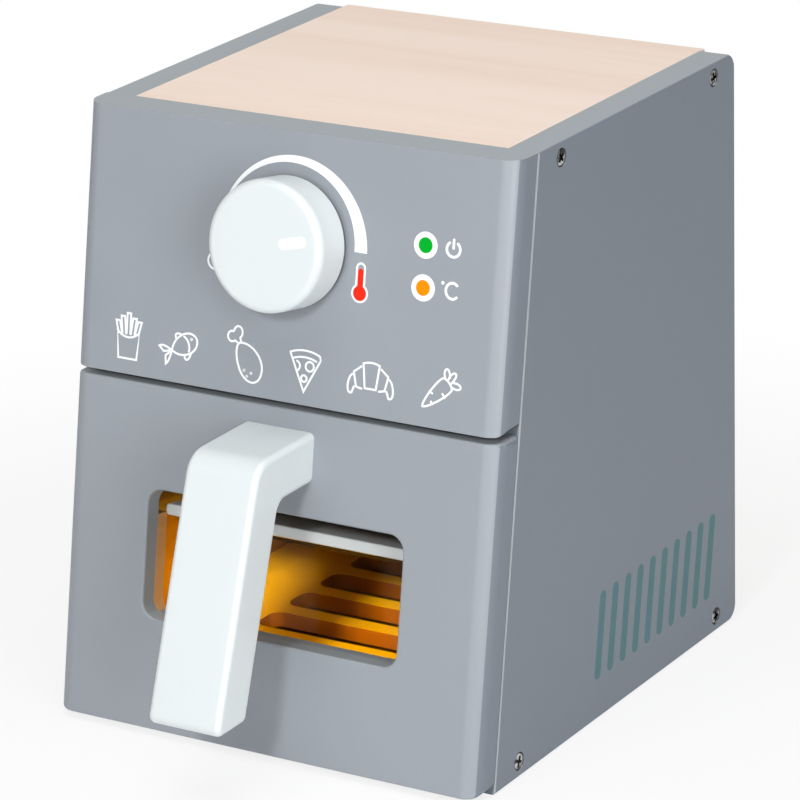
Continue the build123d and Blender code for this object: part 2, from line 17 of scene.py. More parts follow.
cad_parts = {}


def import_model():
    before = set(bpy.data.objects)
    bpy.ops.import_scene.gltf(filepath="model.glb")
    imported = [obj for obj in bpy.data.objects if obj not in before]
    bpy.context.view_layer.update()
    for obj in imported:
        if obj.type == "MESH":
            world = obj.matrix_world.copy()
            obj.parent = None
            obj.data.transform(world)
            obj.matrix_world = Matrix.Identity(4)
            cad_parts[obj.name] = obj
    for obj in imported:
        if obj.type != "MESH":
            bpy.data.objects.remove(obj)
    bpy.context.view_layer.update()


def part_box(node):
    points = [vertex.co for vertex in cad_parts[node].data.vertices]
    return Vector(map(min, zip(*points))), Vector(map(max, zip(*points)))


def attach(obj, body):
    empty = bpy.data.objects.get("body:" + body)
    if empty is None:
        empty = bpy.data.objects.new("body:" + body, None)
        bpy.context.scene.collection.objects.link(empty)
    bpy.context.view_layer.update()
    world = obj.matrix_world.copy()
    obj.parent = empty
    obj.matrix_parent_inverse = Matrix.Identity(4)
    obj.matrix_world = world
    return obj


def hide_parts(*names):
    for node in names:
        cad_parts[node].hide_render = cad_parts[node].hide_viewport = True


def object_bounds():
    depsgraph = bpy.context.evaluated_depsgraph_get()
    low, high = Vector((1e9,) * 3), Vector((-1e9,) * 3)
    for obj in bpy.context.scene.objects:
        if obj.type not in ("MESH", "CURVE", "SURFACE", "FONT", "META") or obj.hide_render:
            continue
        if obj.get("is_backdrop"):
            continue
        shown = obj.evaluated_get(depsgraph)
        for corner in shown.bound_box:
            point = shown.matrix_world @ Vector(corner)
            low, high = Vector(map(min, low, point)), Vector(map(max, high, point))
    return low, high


LOG = logging.getLogger("air_fryer")

MM = 0.001
FULL_TURN = 2 * math.pi
MERGE_DISTANCE = 0.005 * MM
FINE_MERGE = 0.001 * MM
NO_LENGTH = 1e-9
FLAT_ANGLE = math.radians(0.4)
SHARP_ANGLE = math.radians(38)
ROUND_PROFILE = 0.5
# How far a face's normal has to point one way for the face to count as an end or a level face
END_SHARE = 0.78
# The value that a noise swings about
MIDDLE = 0.5
# The display colour curve's straight foot and its power
CURVE_FOOT = 0.04045
CURVE_SLOPE = 12.92
CURVE_OFFSET = 0.055
CURVE_POWER = 2.4

Point = tuple[float, float]
Pair = tuple[float, float]
Scales = tuple[float, float, float]
Colour = tuple[float, float, float, float]
Lines = list[tuple[list[Point], bool]]

WHITE: Colour = (1.0, 1.0, 1.0, 1.0)


class Body(Enum):
    """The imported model's moving bodies."""

    CABINET = "cabinet"
    KNOB = "knob"
    DRAWER = "drawer"


class GrainAxis(Enum):
    """The axis that a board's grain runs along, as shares of the fine and coarse scale on X, Y and Z."""

    ACROSS = (1.0, 0.0, 0.0)
    DEPTH = (0.0, 1.0, 0.0)
    UPRIGHT = (0.0, 0.0, 1.0)


def srgb(red: float, green: float, blue: float) -> Colour:
    """Linear colour of a display colour.

    Args:
        red: Red, 0 to 255.
        green: Green, 0 to 255.
        blue: Blue, 0 to 255.

    Returns:
        The linear red, green, blue and an alpha of 1.
    """
    linear = []
    for share in (red / 255, green / 255, blue / 255):
        curved = ((share + CURVE_OFFSET) / (1 + CURVE_OFFSET)) ** CURVE_POWER
        linear.append(share / CURVE_SLOPE if share <= CURVE_FOOT else curved)
    return (linear[0], linear[1], linear[2], 1.0)


def shaded(colour: Colour, factor: float) -> Colour:
    """The colour made lighter or darker by a factor."""
    return (colour[0] * factor, colour[1] * factor, colour[2] * factor, 1.0)


class Value:
    """A node socket that can stand in a Python expression, which adds the Math nodes that it needs."""

    def __init__(self, tree: "NodeTree", socket: bpy.types.NodeSocket) -> None:
        """Keeps the tree and the output socket."""
        self.tree = tree
        self.socket = socket

    def maths(self, operation: str, *operands: "Operand") -> "Value":
        """One Math node on these operands."""
        return self.tree.node("ShaderNodeMath", {"operation": operation}, dict(enumerate(operands)))

    def __add__(self, other: "Operand") -> "Value":
        """Sum."""
        return self.maths("ADD", self, other)

    __radd__ = __add__

    def __mul__(self, other: "Operand") -> "Value":
        """Product."""
        return self.maths("MULTIPLY", self, other)

    __rmul__ = __mul__

    def __sub__(self, other: "Operand") -> "Value":
        """Difference."""
        return self.maths("SUBTRACT", self, other)

    def __rsub__(self, other: "Operand") -> "Value":
        """Difference from a number."""
        return self.maths("SUBTRACT", other, self)

    def __truediv__(self, other: "Operand") -> "Value":
        """Quotient."""
        return self.maths("DIVIDE", self, other)

    def __gt__(self, other: "Operand") -> "Value":
        """1 where this is greater, else 0."""
        return self.maths("GREATER_THAN", self, other)

    def largest(self, other: "Operand") -> "Value":
        """The greater of the two."""
        return self.maths("MAXIMUM", self, other)

    def ramp(self, low: float, high: float) -> "Value":
        """0 at low, 1 at high and a smooth rise between."""
        inputs = {"Value": self, "From Min": low, "From Max": high}
        return self.tree.node("ShaderNodeMapRange", {"interpolation_type": "SMOOTHSTEP"}, inputs)


Operand = Value | float


class NodeTree:
    """A node tree whose nodes come from one method."""

    def __init__(self, tree: bpy.types.NodeTree) -> None:
        """Keeps the tree."""
        self.tree = tree

    def node(
        self,
        kind: str,
        settings: dict[str, object] | None = None,
        inputs: dict[str | int, object] | None = None,
        output: str | int = 0,
    ) -> Value:
        """Adds a node.

        Args:
            kind: The node's type.
            settings: The node's own settings, which are set first.
            inputs: A value or link for each named or numbered socket; a list fills a socket of many links.
            output: The output socket that the result stands for.

        Returns:
            The chosen output.
        """
        made = self.tree.nodes.new(kind)
        for name, setting in (settings or {}).items():
            setattr(made, name, setting)
        for name, operand in (inputs or {}).items():
            for one in operand if isinstance(operand, list) else [operand]:
                if isinstance(one, Value):
                    self.tree.links.new(one.socket, made.inputs[name])
                else:
                    made.inputs[name].default_value = one
        return Value(self, made.outputs[output])


class Shader(NodeTree):
    """The nodes of one material."""

    def __init__(self, material: bpy.types.Material) -> None:
        """Empties the material's tree and reads Object coordinates.

        Args:
            material: The material that the nodes belong to.
        """
        material.use_nodes = True
        super().__init__(material.node_tree)
        self.tree.nodes.clear()
        self.place = self.node("ShaderNodeTexCoord", output="Object")

    def stretched(self, scales: Sequence[float]) -> Value:
        """Object coordinates times one scale for each axis."""
        return self.node("ShaderNodeVectorMath", {"operation": "MULTIPLY"}, {0: self.place, 1: tuple(scales)})

    def noise(self, place: Value, scale: float, detail: float = 2.0, warp: float = 0.0) -> Value:
        """Noise of about 0 to 1 at a scale."""
        inputs = {"Vector": place, "Scale": scale, "Detail": detail, "Distortion": warp}
        return self.node("ShaderNodeTexNoise", {"normalize": True}, inputs)

    def mix(self, first: Colour | Value, second: Colour | Value, share: Operand) -> Value:
        """Mix of two colours."""
        return self.node("ShaderNodeMix", {"data_type": "RGBA"}, {0: share, 6: first, 7: second}, output=2)

    def bump(self, height: Value, depth: float) -> Value:
        """Bump of a height of 0 to 1 over a depth in metres."""
        inputs = {"Height": height, "Distance": depth, "Strength": 1.0}
        return self.node("ShaderNodeBump", inputs=inputs, output="Normal")

    def principled(self, **inputs: object) -> Value:
        """Principled shader with sockets named in Python's way, such as Base_Color."""
        named = {name.replace("_", " "): operand for name, operand in inputs.items()}
        return self.node("ShaderNodeBsdfPrincipled", inputs=named, output="BSDF")

    def show(self, surface: Value) -> None:
        """Makes this shader the material's surface."""
        end = self.tree.nodes.new("ShaderNodeOutputMaterial")
        self.tree.links.new(surface.socket, end.inputs["Surface"])


@dataclass(frozen=True)
class Finish:
    """A finish that the maker applies, with the record's slot for it."""

    name: str
    slot: str
    colour: Colour

    def material(self) -> bpy.types.Material:
        """The finish's material, made once.

        Returns:
            The material.
        """
        title = self.name + "_finish"
        known = bpy.data.materials.get(title)
        if known:
            return known
        made = bpy.data.materials.new(title)
        shader = Shader(made)
        shader.show(self.surface(shader))
        return made

    def surface(self, shader: Shader) -> Value:
        """The surface shader; each finish has its own."""
        raise NotImplementedError


@dataclass(frozen=True)
class SatinPaint(Finish):
    """Sprayed satin paint on wood: a fine orange peel, cloudy gloss and a faint tone drift."""

    roughness: float = 0.34
    drift: float = 0.025
    specular: float = 0.5
    peel_depth: float = 0.012 * MM
    peel_scale: float = 900.0
    peel_share: float = 0.7
    peel_gloss: float = 0.06
    cloud_scale: float = 26.0
    cloud_gloss: float = 0.16
    fibre_scales: Scales = (40.0, 40.0, 420.0)

    def surface(self, shader: Shader) -> Value:
        """Base colour, roughness and bump of the paint.

        Args:
            shader: The nodes of the finish's material.

        Returns:
            The surface shader.
        """
        cloud = shader.noise(shader.place, self.cloud_scale, detail=3)
        speck = shader.noise(shader.place, self.peel_scale, detail=2)
        fibre = shader.noise(shader.stretched(self.fibre_scales), 1.0, detail=2)
        tone = shader.mix(shaded(self.colour, 1 - self.drift), shaded(self.colour, 1 + self.drift), cloud)
        relief = speck * self.peel_share + fibre * (1 - self.peel_share)
        unevenness = (cloud - MIDDLE) * self.cloud_gloss + (speck - MIDDLE) * self.peel_gloss
        return shader.principled(
            Base_Color=tone,
            Roughness=self.roughness + unevenness,
            Normal=shader.bump(relief, self.peel_depth),
            Specular_IOR_Level=self.specular,
        )


@dataclass(frozen=True)
class Timber(Finish):
    """Bare wood with broad streaks, fine fibre and short flecks along the grain."""

    grain: GrainAxis = GrainAxis.ACROSS
    dark: Colour = (0.5, 0.3, 0.2, 1.0)
    streaks: float = 0.5
    flecks: float = 0.35
    roughness: float = 0.55
    specular: float = 0.35
    streak_scales: Pair = (3.0, 55.0)
    streak_ends: Pair = (0.3, 0.7)
    streak_warp: float = 0.6
    fibre_scales: Pair = (70.0, 1500.0)
    fibre_tone: float = 0.3
    fibre_gloss: float = 0.2
    fibre_depth: float = 0.03 * MM
    fleck_scales: Pair = (260.0, 2600.0)
    fleck_ends: Pair = (0.62, 0.74)
    fleck_dip: float = 0.6

    def along(self, scales: Pair) -> list[float]:
        """Scales for X, Y and Z, the first one along the grain and the second one across it."""
        return [scales[0] * share + scales[1] * (1 - share) for share in self.grain.value]

    def surface(self, shader: Shader) -> Value:
        """Base colour, roughness and bump of the wood.

        Args:
            shader: The nodes of the finish's material.

        Returns:
            The surface shader.
        """
        streak = shader.noise(shader.stretched(self.along(self.streak_scales)), 1.0, 4, self.streak_warp)
        streak = streak.ramp(*self.streak_ends)
        fibre = shader.noise(shader.stretched(self.along(self.fibre_scales)), 1.0, detail=3)
        fleck = shader.noise(shader.stretched(self.along(self.fleck_scales)), 1.0, detail=1)
        fleck = fleck.ramp(*self.fleck_ends)
        shade = streak * self.streaks + fibre * self.fibre_tone * self.streaks + fleck * self.flecks
        return shader.principled(
            Base_Color=shader.mix(self.colour, self.dark, shade),
            Roughness=self.roughness + (fibre - MIDDLE) * self.fibre_gloss,
            Normal=shader.bump(fibre - fleck * self.fleck_dip, self.fibre_depth),
            Specular_IOR_Level=self.specular,
        )


@dataclass(frozen=True)
class TintedPane(Finish):
    """Clear tinted acrylic that lets the lamps light what is behind it.

    To a ray from a lamp the pane is a clear film. The film's colour goes over 1 on purpose: it lets in more
    light than falls on it, because the inside came out too dark with a plain one.
    """

    film: Colour = (1.0, 0.6, 0.1, 1.0)
    refraction: float = 1.2
    roughness: float = 0.03
    cloud_scale: float = 60.0
    cloud_gloss: float = 0.02
    cloud_tone: float = 0.96

    def surface(self, shader: Shader) -> Value:
        """Glass to the eye and a tinted film to rays from the lamps.

        Args:
            shader: The nodes of the finish's material.

        Returns:
            The surface shader.
        """
        cloud = shader.noise(shader.place, self.cloud_scale, detail=2)
        pane = shader.principled(
            Base_Color=shader.mix(self.colour, shaded(self.colour, self.cloud_tone), cloud),
            Roughness=self.roughness + cloud * self.cloud_gloss,
            IOR=self.refraction,
            Transmission_Weight=1.0,
        )
        film = shader.node("ShaderNodeBsdfTransparent", inputs={"Color": self.film})
        lamp_ray = shader.node("ShaderNodeLightPath", output="Is Shadow Ray")
        return shader.node("ShaderNodeMixShader", inputs={0: lamp_ray, 1: pane, 2: film})


@dataclass(frozen=True)
class Metal(Finish):
    """Steel with fine turning marks and patches of painted reflection: lighter and darker copies of its
    colour.
    """

    roughness: float = 0.2
    marks: float = 0.1
    reflection_light: float = 1.0
    reflection_dark: float = 0.8
    mark_scales: Scales = (700.0, 3000.0, 3000.0)
    mark_depth: float = 0.004 * MM
    reflection_scale: float = 500.0
    reflection_ends: Pair = (0.4, 0.6)

    def surface(self, shader: Shader) -> Value:
        """Base colour, roughness and bump of the steel.

        Args:
            shader: The nodes of the finish's material.

        Returns:
            The surface shader.
        """
        mark = shader.noise(shader.stretched(self.mark_scales), 1.0, detail=2)
        # Painted reflection: patches that swing between a lighter and a darker copy of the colour
        painted_reflection = shader.noise(shader.place, self.reflection_scale, detail=2).ramp(*self.reflection_ends)
        return shader.principled(
            Base_Color=shader.mix(shaded(self.colour, self.reflection_light), shaded(self.colour, self.reflection_dark), painted_reflection),
            Metallic=1.0,
            Roughness=self.roughness + (mark - MIDDLE) * self.marks,
            Normal=shader.bump(mark, self.mark_depth),
        )


@dataclass(frozen=True)
class MouldedPlastic(Finish):
    """Moulded plastic with a fine grain."""

    roughness: float = 0.38
    grain_scale: float = 1600.0
    grain_gloss: float = 0.12
    grain_depth: float = 0.006 * MM
    cloud_scale: float = 40.0
    cloud_tones: Pair = (0.97, 1.02)

    def surface(self, shader: Shader) -> Value:
        """Base colour, roughness and bump of the plastic.

        Args:
            shader: The nodes of the finish's material.

        Returns:
            The surface shader.
        """
        grain = shader.noise(shader.place, self.grain_scale, detail=2)
        cloud = shader.noise(shader.place, self.cloud_scale, detail=2)
        darker, lighter = (shaded(self.colour, tone) for tone in self.cloud_tones)
        return shader.principled(
            Base_Color=shader.mix(darker, lighter, cloud),
            Roughness=self.roughness + (grain - MIDDLE) * self.grain_gloss,
            Normal=shader.bump(grain, self.grain_depth),
        )


@dataclass(frozen=True)
class Felt(Finish):
    """Pressed felt with loose fibres."""

    roughness: float = 0.95
    fibre_scale: float = 2200.0
    fibre_warp: float = 1.5
    fibre_depth: float = 0.12 * MM
    fibre_tones: Pair = (0.6, 1.5)

    def surface(self, shader: Shader) -> Value:
        """Base colour and bump of the felt.

        Args:
            shader: The nodes of the finish's material.

        Returns:
            The surface shader.
        """
        fibre = shader.noise(shader.place, self.fibre_scale, 4, self.fibre_warp)
        darker, lighter = (shaded(self.colour, tone) for tone in self.fibre_tones)
        return shader.principled(
            Base_Color=shader.mix(darker, lighter, fibre),
            Roughness=self.roughness,
            Normal=shader.bump(fibre, self.fibre_depth),
        )


@dataclass(frozen=True)
class Ink(Finish):
    """Screen printed ink, a little uneven."""

    roughness: float = 0.5
    unevenness: float = 0.05
    specular: float = 0.06
    blot_scale: float = 380.0
    screen_scale: float = 2400.0
    screen_gloss: float = 0.15
    screen_depth: float = 0.004 * MM

    def surface(self, shader: Shader) -> Value:
        """Base colour, roughness and bump of the ink.

        Args:
            shader: The nodes of the finish's material.

        Returns:
            The surface shader.
        """
        blot = shader.noise(shader.place, self.blot_scale, detail=3)
        screen_mark = shader.noise(shader.place, self.screen_scale, detail=1)
        return shader.principled(
            Base_Color=shader.mix(shaded(self.colour, 1 - self.unevenness), self.colour, blot),
            Roughness=self.roughness + (screen_mark - MIDDLE) * self.screen_gloss,
            Normal=shader.bump(screen_mark, self.screen_depth),
            Specular_IOR_Level=self.specular,
        )


@dataclass(frozen=True)
class FloorPaper(Finish):
    """Pale studio paper: a faint tooth near the object, plain white further out."""

    near: float = 0.16
    far: float = 0.4
    least_white: float = 0.8
    roughness: float = 0.9
    specular: float = 0.1
    tooth_scale: float = 900.0
    tooth_tone: float = 0.995
    tooth_depth: float = 0.01 * MM

    def surface(self, shader: Shader) -> Value:
        """Paper that takes the object's shadow and ends in white for the eye.

        Args:
            shader: The nodes of the finish's material.

        Returns:
            The surface shader.
        """
        tooth = shader.noise(shader.place, self.tooth_scale, detail=2)
        paper = shader.principled(
            Base_Color=shader.mix(shaded(self.colour, self.tooth_tone), self.colour, tooth),
            Roughness=self.roughness,
            Specular_IOR_Level=self.specular,
            Normal=shader.bump(tooth, self.tooth_depth),
        )
        white = shader.node("ShaderNodeEmission", inputs={"Color": WHITE, "Strength": 1.0})
        distance = shader.node("ShaderNodeVectorMath", {"operation": "LENGTH"}, {0: shader.place}, "Value")
        camera_ray = shader.node("ShaderNodeLightPath", output="Is Camera Ray")
        white_share = self.least_white + (1 - self.least_white) * distance.ramp(self.near, self.far)
        share = white_share * camera_ray
        return shader.node("ShaderNodeMixShader", inputs={0: share, 1: paper, 2: white})


BEECH = srgb(255, 237, 223)
# Painted shade: a darker copy of the front's grey paint, for the faces turned to the sides
GREY_SHADED_SIDE = SatinPaint("grey_side_paint", "grey_paint_side", srgb(115, 123, 133))
GREY_FRONT = SatinPaint("grey_front_paint", "grey_paint_front", srgb(147, 153, 160))
# Painted shadow: near black for the control panel's underside, where shade falls in the gap above the drawer
PANEL_UNDER_SHADOW = SatinPaint("grey_under_paint", "grey_paint_front", srgb(26, 28, 31))
# Painted light: a lighter copy of the front's grey paint, for level faces and the side panels' softened front
# edges
GREY_LIT_TOP = SatinPaint("grey_top_paint", "grey_paint_front", srgb(156, 164, 169))
WHITE_PAINT = SatinPaint(
    "white_paint", "white_paint", srgb(217, 224, 225), roughness=0.32, drift=0.012, peel_depth=0.003 * MM
)
TOP_WOOD = Timber(
    "top_wood", "natural_wood", BEECH, GrainAxis.ACROSS, srgb(244, 217, 198), streaks=0.42, flecks=0.25
)
LINER_WOOD = Timber("liner_wood", "natural_wood", srgb(214, 160, 104), GrainAxis.ACROSS, srgb(176, 118, 66))
INNER_WOOD = Timber("inner_wood", "inner_wood", srgb(248, 228, 192), GrainAxis.DEPTH, srgb(232, 202, 156))
BACK_WOOD = Timber("back_wood", "inner_wood", INNER_WOOD.colour, GrainAxis.UPRIGHT, INNER_WOOD.dark)
# Hardboard, its dark brown partly painted shade: under the rack's slots and behind the rail
HARDBOARD_AND_SHADE = Timber(
    "hardboard", "inner_wood", srgb(116, 82, 56), GrainAxis.DEPTH, srgb(84, 56, 36), streaks=0.6, flecks=0.2
)
DOWEL_WOOD = Timber("dowel_wood", "dowel_wood", srgb(214, 178, 134), GrainAxis.DEPTH, srgb(180, 138, 94))
BOX_WOOD = Timber("box_wood", "inner_wood", srgb(186, 138, 92), GrainAxis.DEPTH, srgb(158, 112, 72))
# Painted shade: darker wood on the rack's upright faces, the slot walls that the light does not reach
RACK_WALL_SHADE = Timber("scorched_wood", "inner_wood", srgb(150, 98, 54), GrainAxis.ACROSS, srgb(122, 76, 40))
PANE_TINT = TintedPane("amber_acrylic", "amber_acrylic", srgb(255, 200, 32), film=(2.0, 2.05, 0.8, 1.0))
# Painted reflection: the polished steel's patches run from near black to far above its colour
POLISHED_STEEL = Metal(
    "polished_steel", "polished_steel", srgb(170, 168, 166), roughness=0.1, reflection_light=1.7, reflection_dark=0.12
)
# Painted shade: near black steel for the screw heads' rims and recesses
SCREW_SHADE_STEEL = Metal("dark_steel", "polished_steel", srgb(34, 32, 31), roughness=0.3)
ZINC_STEEL = Metal("zinc_steel", "zinc_steel", srgb(176, 180, 188), roughness=0.34)
RAIL_PLASTIC = MouldedPlastic("rail_plastic", "light_grey_plastic", srgb(212, 216, 215))
# Dark felt for the knob's washer, kept near black for the shade behind the knob; also painted shadow on the
# knob's rear rim
DARK_FELT_AND_SHADE = Felt("dark_felt", "dark_felt", srgb(28, 28, 30))
# Painted shadow: near black brown on the rail's lip below the pane's top, a dark line of shade
RAIL_LIP_SHADOW = Felt("brown_felt", "dark_felt", srgb(40, 12, 4))
# Painted shadow: near black wood on the divider shelf, for the dark gap under the control panel
SHELF_SHADE_WOOD = Timber("stained_wood", "inner_wood", srgb(50, 42, 36), GrainAxis.ACROSS, srgb(34, 28, 24))
WHITE_INK = Ink("white_ink", "white_paint", srgb(246, 249, 251), unevenness=0.03)
GREEN_INK = Ink("green_ink", "grey_paint_front", srgb(0, 170, 42))
ORANGE_INK = Ink("orange_ink", "grey_paint_front", srgb(246, 142, 0))
RED_INK = Ink("red_ink", "grey_paint_front", srgb(244, 44, 24))
VENT_INK = Ink("vent_ink", "grey_paint_side", srgb(92, 126, 130), unevenness=0.1)
STUDIO_PAPER = FloorPaper("studio_paper", "", srgb(246, 246, 246))


def add_piece(
    name: str, mesh: bpy.types.Mesh, finish: Finish, body: Body, stands_for: Sequence[str] = ()
) -> bpy.types.Object:
    """Makes a piece of the object from a mesh.

    Args:
        name: The piece's name.
        mesh: Its mesh, already in place.
        finish: Its finish.
        body: The body that it moves with.
        stands_for: The CAD nodes that it replaces.

    Returns:
        The piece.
    """
    mesh.materials.clear()
    mesh.materials.append(finish.material())
    piece = bpy.data.objects.new(name, mesh)
    bpy.context.scene.collection.objects.link(piece)
    even = piece.modifiers.new("even_shading", "WEIGHTED_NORMAL")
    even.keep_sharp = True
    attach(piece, body.value)
    if stands_for:
        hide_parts(*stands_for)
    LOG.info("piece %s: %d faces, rides %s", name, len(mesh.polygons), body.value)
    return piece


def second_finish(
    piece: bpy.types.Object, finish: Finish, chosen: Callable[[bpy.types.MeshPolygon], bool]
) -> None:
    """Gives the faces that are chosen a second finish.

    Args:
        piece: The piece.
        finish: Its second finish.
        chosen: Says of a face whether it is chosen.
    """
    piece.data.materials.append(finish.material())
    for face in piece.data.polygons:
        if chosen(face):
            face.material_index = len(piece.data.materials) - 1


def mesh_from(bm: bmesh.types.BMesh, name: str, place: Matrix | None = None) -> bpy.types.Mesh:
    """Turns a bmesh into a smooth mesh with sharp edges kept, and frees it.

    Args:
        bm: The bmesh.
        name: The mesh's name.
        place: Where the mesh goes.

    Returns:
        The mesh.
    """
    for face in bm.faces:
        face.smooth = True
    for edge in bm.edges:
        edge.smooth = not edge.is_manifold or edge.calc_face_angle(0.0) < SHARP_ANGLE
    if place:
        bm.transform(place)
    mesh = bpy.data.meshes.new(name)
    bm.to_mesh(mesh)
    bm.free()
    return mesh


@dataclass(frozen=True)
class LeaningFront:
    """The plane of the side panels' front edges, which leans back."""

    foot_y: float
    lean: float

    @property
    def matrix(self) -> Matrix:
        """From across, up the slope and outward to the model's frame.

        Returns:
            The matrix.
        """
        up = Vector((0, math.sin(self.lean), math.cos(self.lean)))
        out = Vector((0, -math.cos(self.lean), math.sin(self.lean)))
        place = Matrix((Vector((1, 0, 0)), up, out)).transposed().to_4x4()
        place.translation = Vector((0, self.foot_y, 0))
        return place

    def local(self, point: Vector) -> Vector:
        """A point of the model as across, up the slope and outward."""
        return self.matrix.inverted() @ point

    @classmethod
    def of_model(cls) -> "LeaningFront":
        """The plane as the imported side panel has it.

        Returns:
            The plane.
        """
        low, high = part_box("side_panel_left")
        corners = [vertex.co for vertex in bpy.data.objects["side_panel_left"].data.vertices]
        inner = [corner for corner in corners if corner.x > high.x - MERGE_DISTANCE]
        foot = min((c for c in inner if c.z < low.z + MERGE_DISTANCE), key=lambda c: c.y)
        head = min((c for c in inner if c.z > high.z - MERGE_DISTANCE), key=lambda c: c.y)
        return cls(foot.y, math.atan2(head.y - foot.y, head.z - foot.z))


@dataclass(frozen=True)
class SoftenedNode:
    """A copy of a CAD node with merged faces, softened edges and even shading."""

    node: str
    finish: Finish
    body: Body
    radius: float
    segments: int = 3

    def build(self, chosen: Callable[[Vector], bool] = lambda middle: True) -> bpy.types.Object:
        """Copies, softens and dresses the node.

        Args:
            chosen: Says by an edge's middle whether it is softened.

        Returns:
            The piece, which replaces the node.
        """
        bm = bmesh.new()
        bm.from_mesh(bpy.data.objects[self.node].data)
        bmesh.ops.remove_doubles(bm, verts=bm.verts, dist=MERGE_DISTANCE)
        bmesh.ops.dissolve_limit(bm, angle_limit=FLAT_ANGLE, verts=bm.verts, edges=bm.edges)
        edges = [
            edge
            for edge in bm.edges
            if edge.is_manifold
            and edge.is_convex
            and edge.calc_face_angle(0.0) > SHARP_ANGLE
            and chosen((edge.verts[0].co + edge.verts[1].co) / 2)
        ]
        bmesh.ops.bevel(
            bm, geom=edges, offset=self.radius, segments=self.segments, profile=ROUND_PROFILE, affect="EDGES",
            offset_type="OFFSET", clamp_overlap=True,
        )
        mesh = mesh_from(bm, self.node + "_finished")
        return add_piece(self.node + "_finished", mesh, self.finish, self.body, [self.node])


class ShapeTree(NodeTree):
    """A geometry node tree with named sizes that ends in Realize Instances and Set Material."""

    def __init__(self, name: str) -> None:
        """Makes the tree with its geometry sockets.

        Args:
            name: The tree's name.
        """
        group = bpy.data.node_groups.new(name, "GeometryNodeTree")
        super().__init__(group)
        self.name = name
        group.interface.new_socket("Geometry", in_out="INPUT", socket_type="NodeSocketGeometry")
        group.interface.new_socket("Geometry", in_out="OUTPUT", socket_type="NodeSocketGeometry")
        self.entry = group.nodes.new("NodeGroupInput")

    def size(self, name: str) -> Value:
        """Adds a named size and gives its socket."""
        self.tree.interface.new_socket(name, in_out="INPUT", socket_type="NodeSocketFloat")
        return Value(self, self.entry.outputs[name])

    def end(self, geometry: Value, finish: Finish) -> None:
        """Ends the tree.

        Args:
            geometry: What the tree has made.
            finish: The finish that it gets.
        """
        plain = self.node("GeometryNodeRealizeInstances", inputs={"Geometry": geometry})
        inputs = {"Geometry": plain, "Material": finish.material()}
        dressed = self.node("GeometryNodeSetMaterial", inputs=inputs)
        last = self.tree.nodes.new("NodeGroupOutput")
        self.tree.links.new(dressed.socket, last.inputs["Geometry"])

    def mesh(self, points: Iterable[Vector], sizes: dict[str, float]) -> bpy.types.Mesh:
        """Runs the tree on points.

        Args:
            points: The points that the tree works on.
            sizes: The named sizes.

        Returns:
            A plain mesh.
        """
        seed_mesh = bpy.data.meshes.new(self.name + "_points")
        seed_mesh.from_pydata([tuple(point) for point in points], [], [])
        host = bpy.data.objects.new(self.name + "_host", seed_mesh)
        bpy.context.scene.collection.objects.link(host)
        modifier = host.modifiers.new(self.name, "NODES")
        modifier.node_group = self.tree
        for item in self.tree.interface.items_tree:
            if item.in_out == "INPUT" and item.name in sizes:
                modifier[item.identifier] = sizes[item.name]
        graph = bpy.context.evaluated_depsgraph_get()
        plain = bpy.data.meshes.new_from_object(host.evaluated_get(graph))
        bpy.data.objects.remove(host)
        return plain


def arc(centre: Point, radius: float | Point, start: float, end: float, steps: int = 12) -> list[Point]:
    """Points on a circle or ellipse.

    Args:
        centre: Its centre.
        radius: Its radius, or its two half sizes.
        start: First angle, in degrees.
        end: Last angle, in degrees.
        steps: How many runs join the points.

    Returns:
        The points, with both ends.
    """
    wide, high = radius if isinstance(radius, tuple) else (radius, radius)
    angles = [math.radians(start + (end - start) * step / steps) for step in range(steps + 1)]
    return [(centre[0] + wide * math.cos(angle), centre[1] + high * math.sin(angle)) for angle in angles]


def curve(start: Point, first: Point, second: Point, end: Point, steps: int = 10) -> list[Point]:
    """Points on a cubic curve.

    Args:
        start: Where it starts.
        first: The point that its start heads for.
        second: The point that its end comes from.
        end: Where it ends.
        steps: How many runs join the points.

    Returns:
        The points, with both ends.
    """
    points = []
    for step in range(steps + 1):
        t = step / steps
        shares = ((1 - t) ** 3, 3 * (1 - t) ** 2 * t, 3 * (1 - t) * t**2, t**3)
        pulls = list(zip(shares, (start, first, second, end)))
        x, y = (sum(share * spot[axis] for share, spot in pulls) for axis in (0, 1))
        points.append((x, y))
    return points


def turned(points: Iterable[Point], degrees: float) -> list[Point]:
    """The points turned about the origin."""
    cos, sin = math.cos(math.radians(degrees)), math.sin(math.radians(degrees))
    return [(x * cos - y * sin, x * sin + y * cos) for x, y in points]


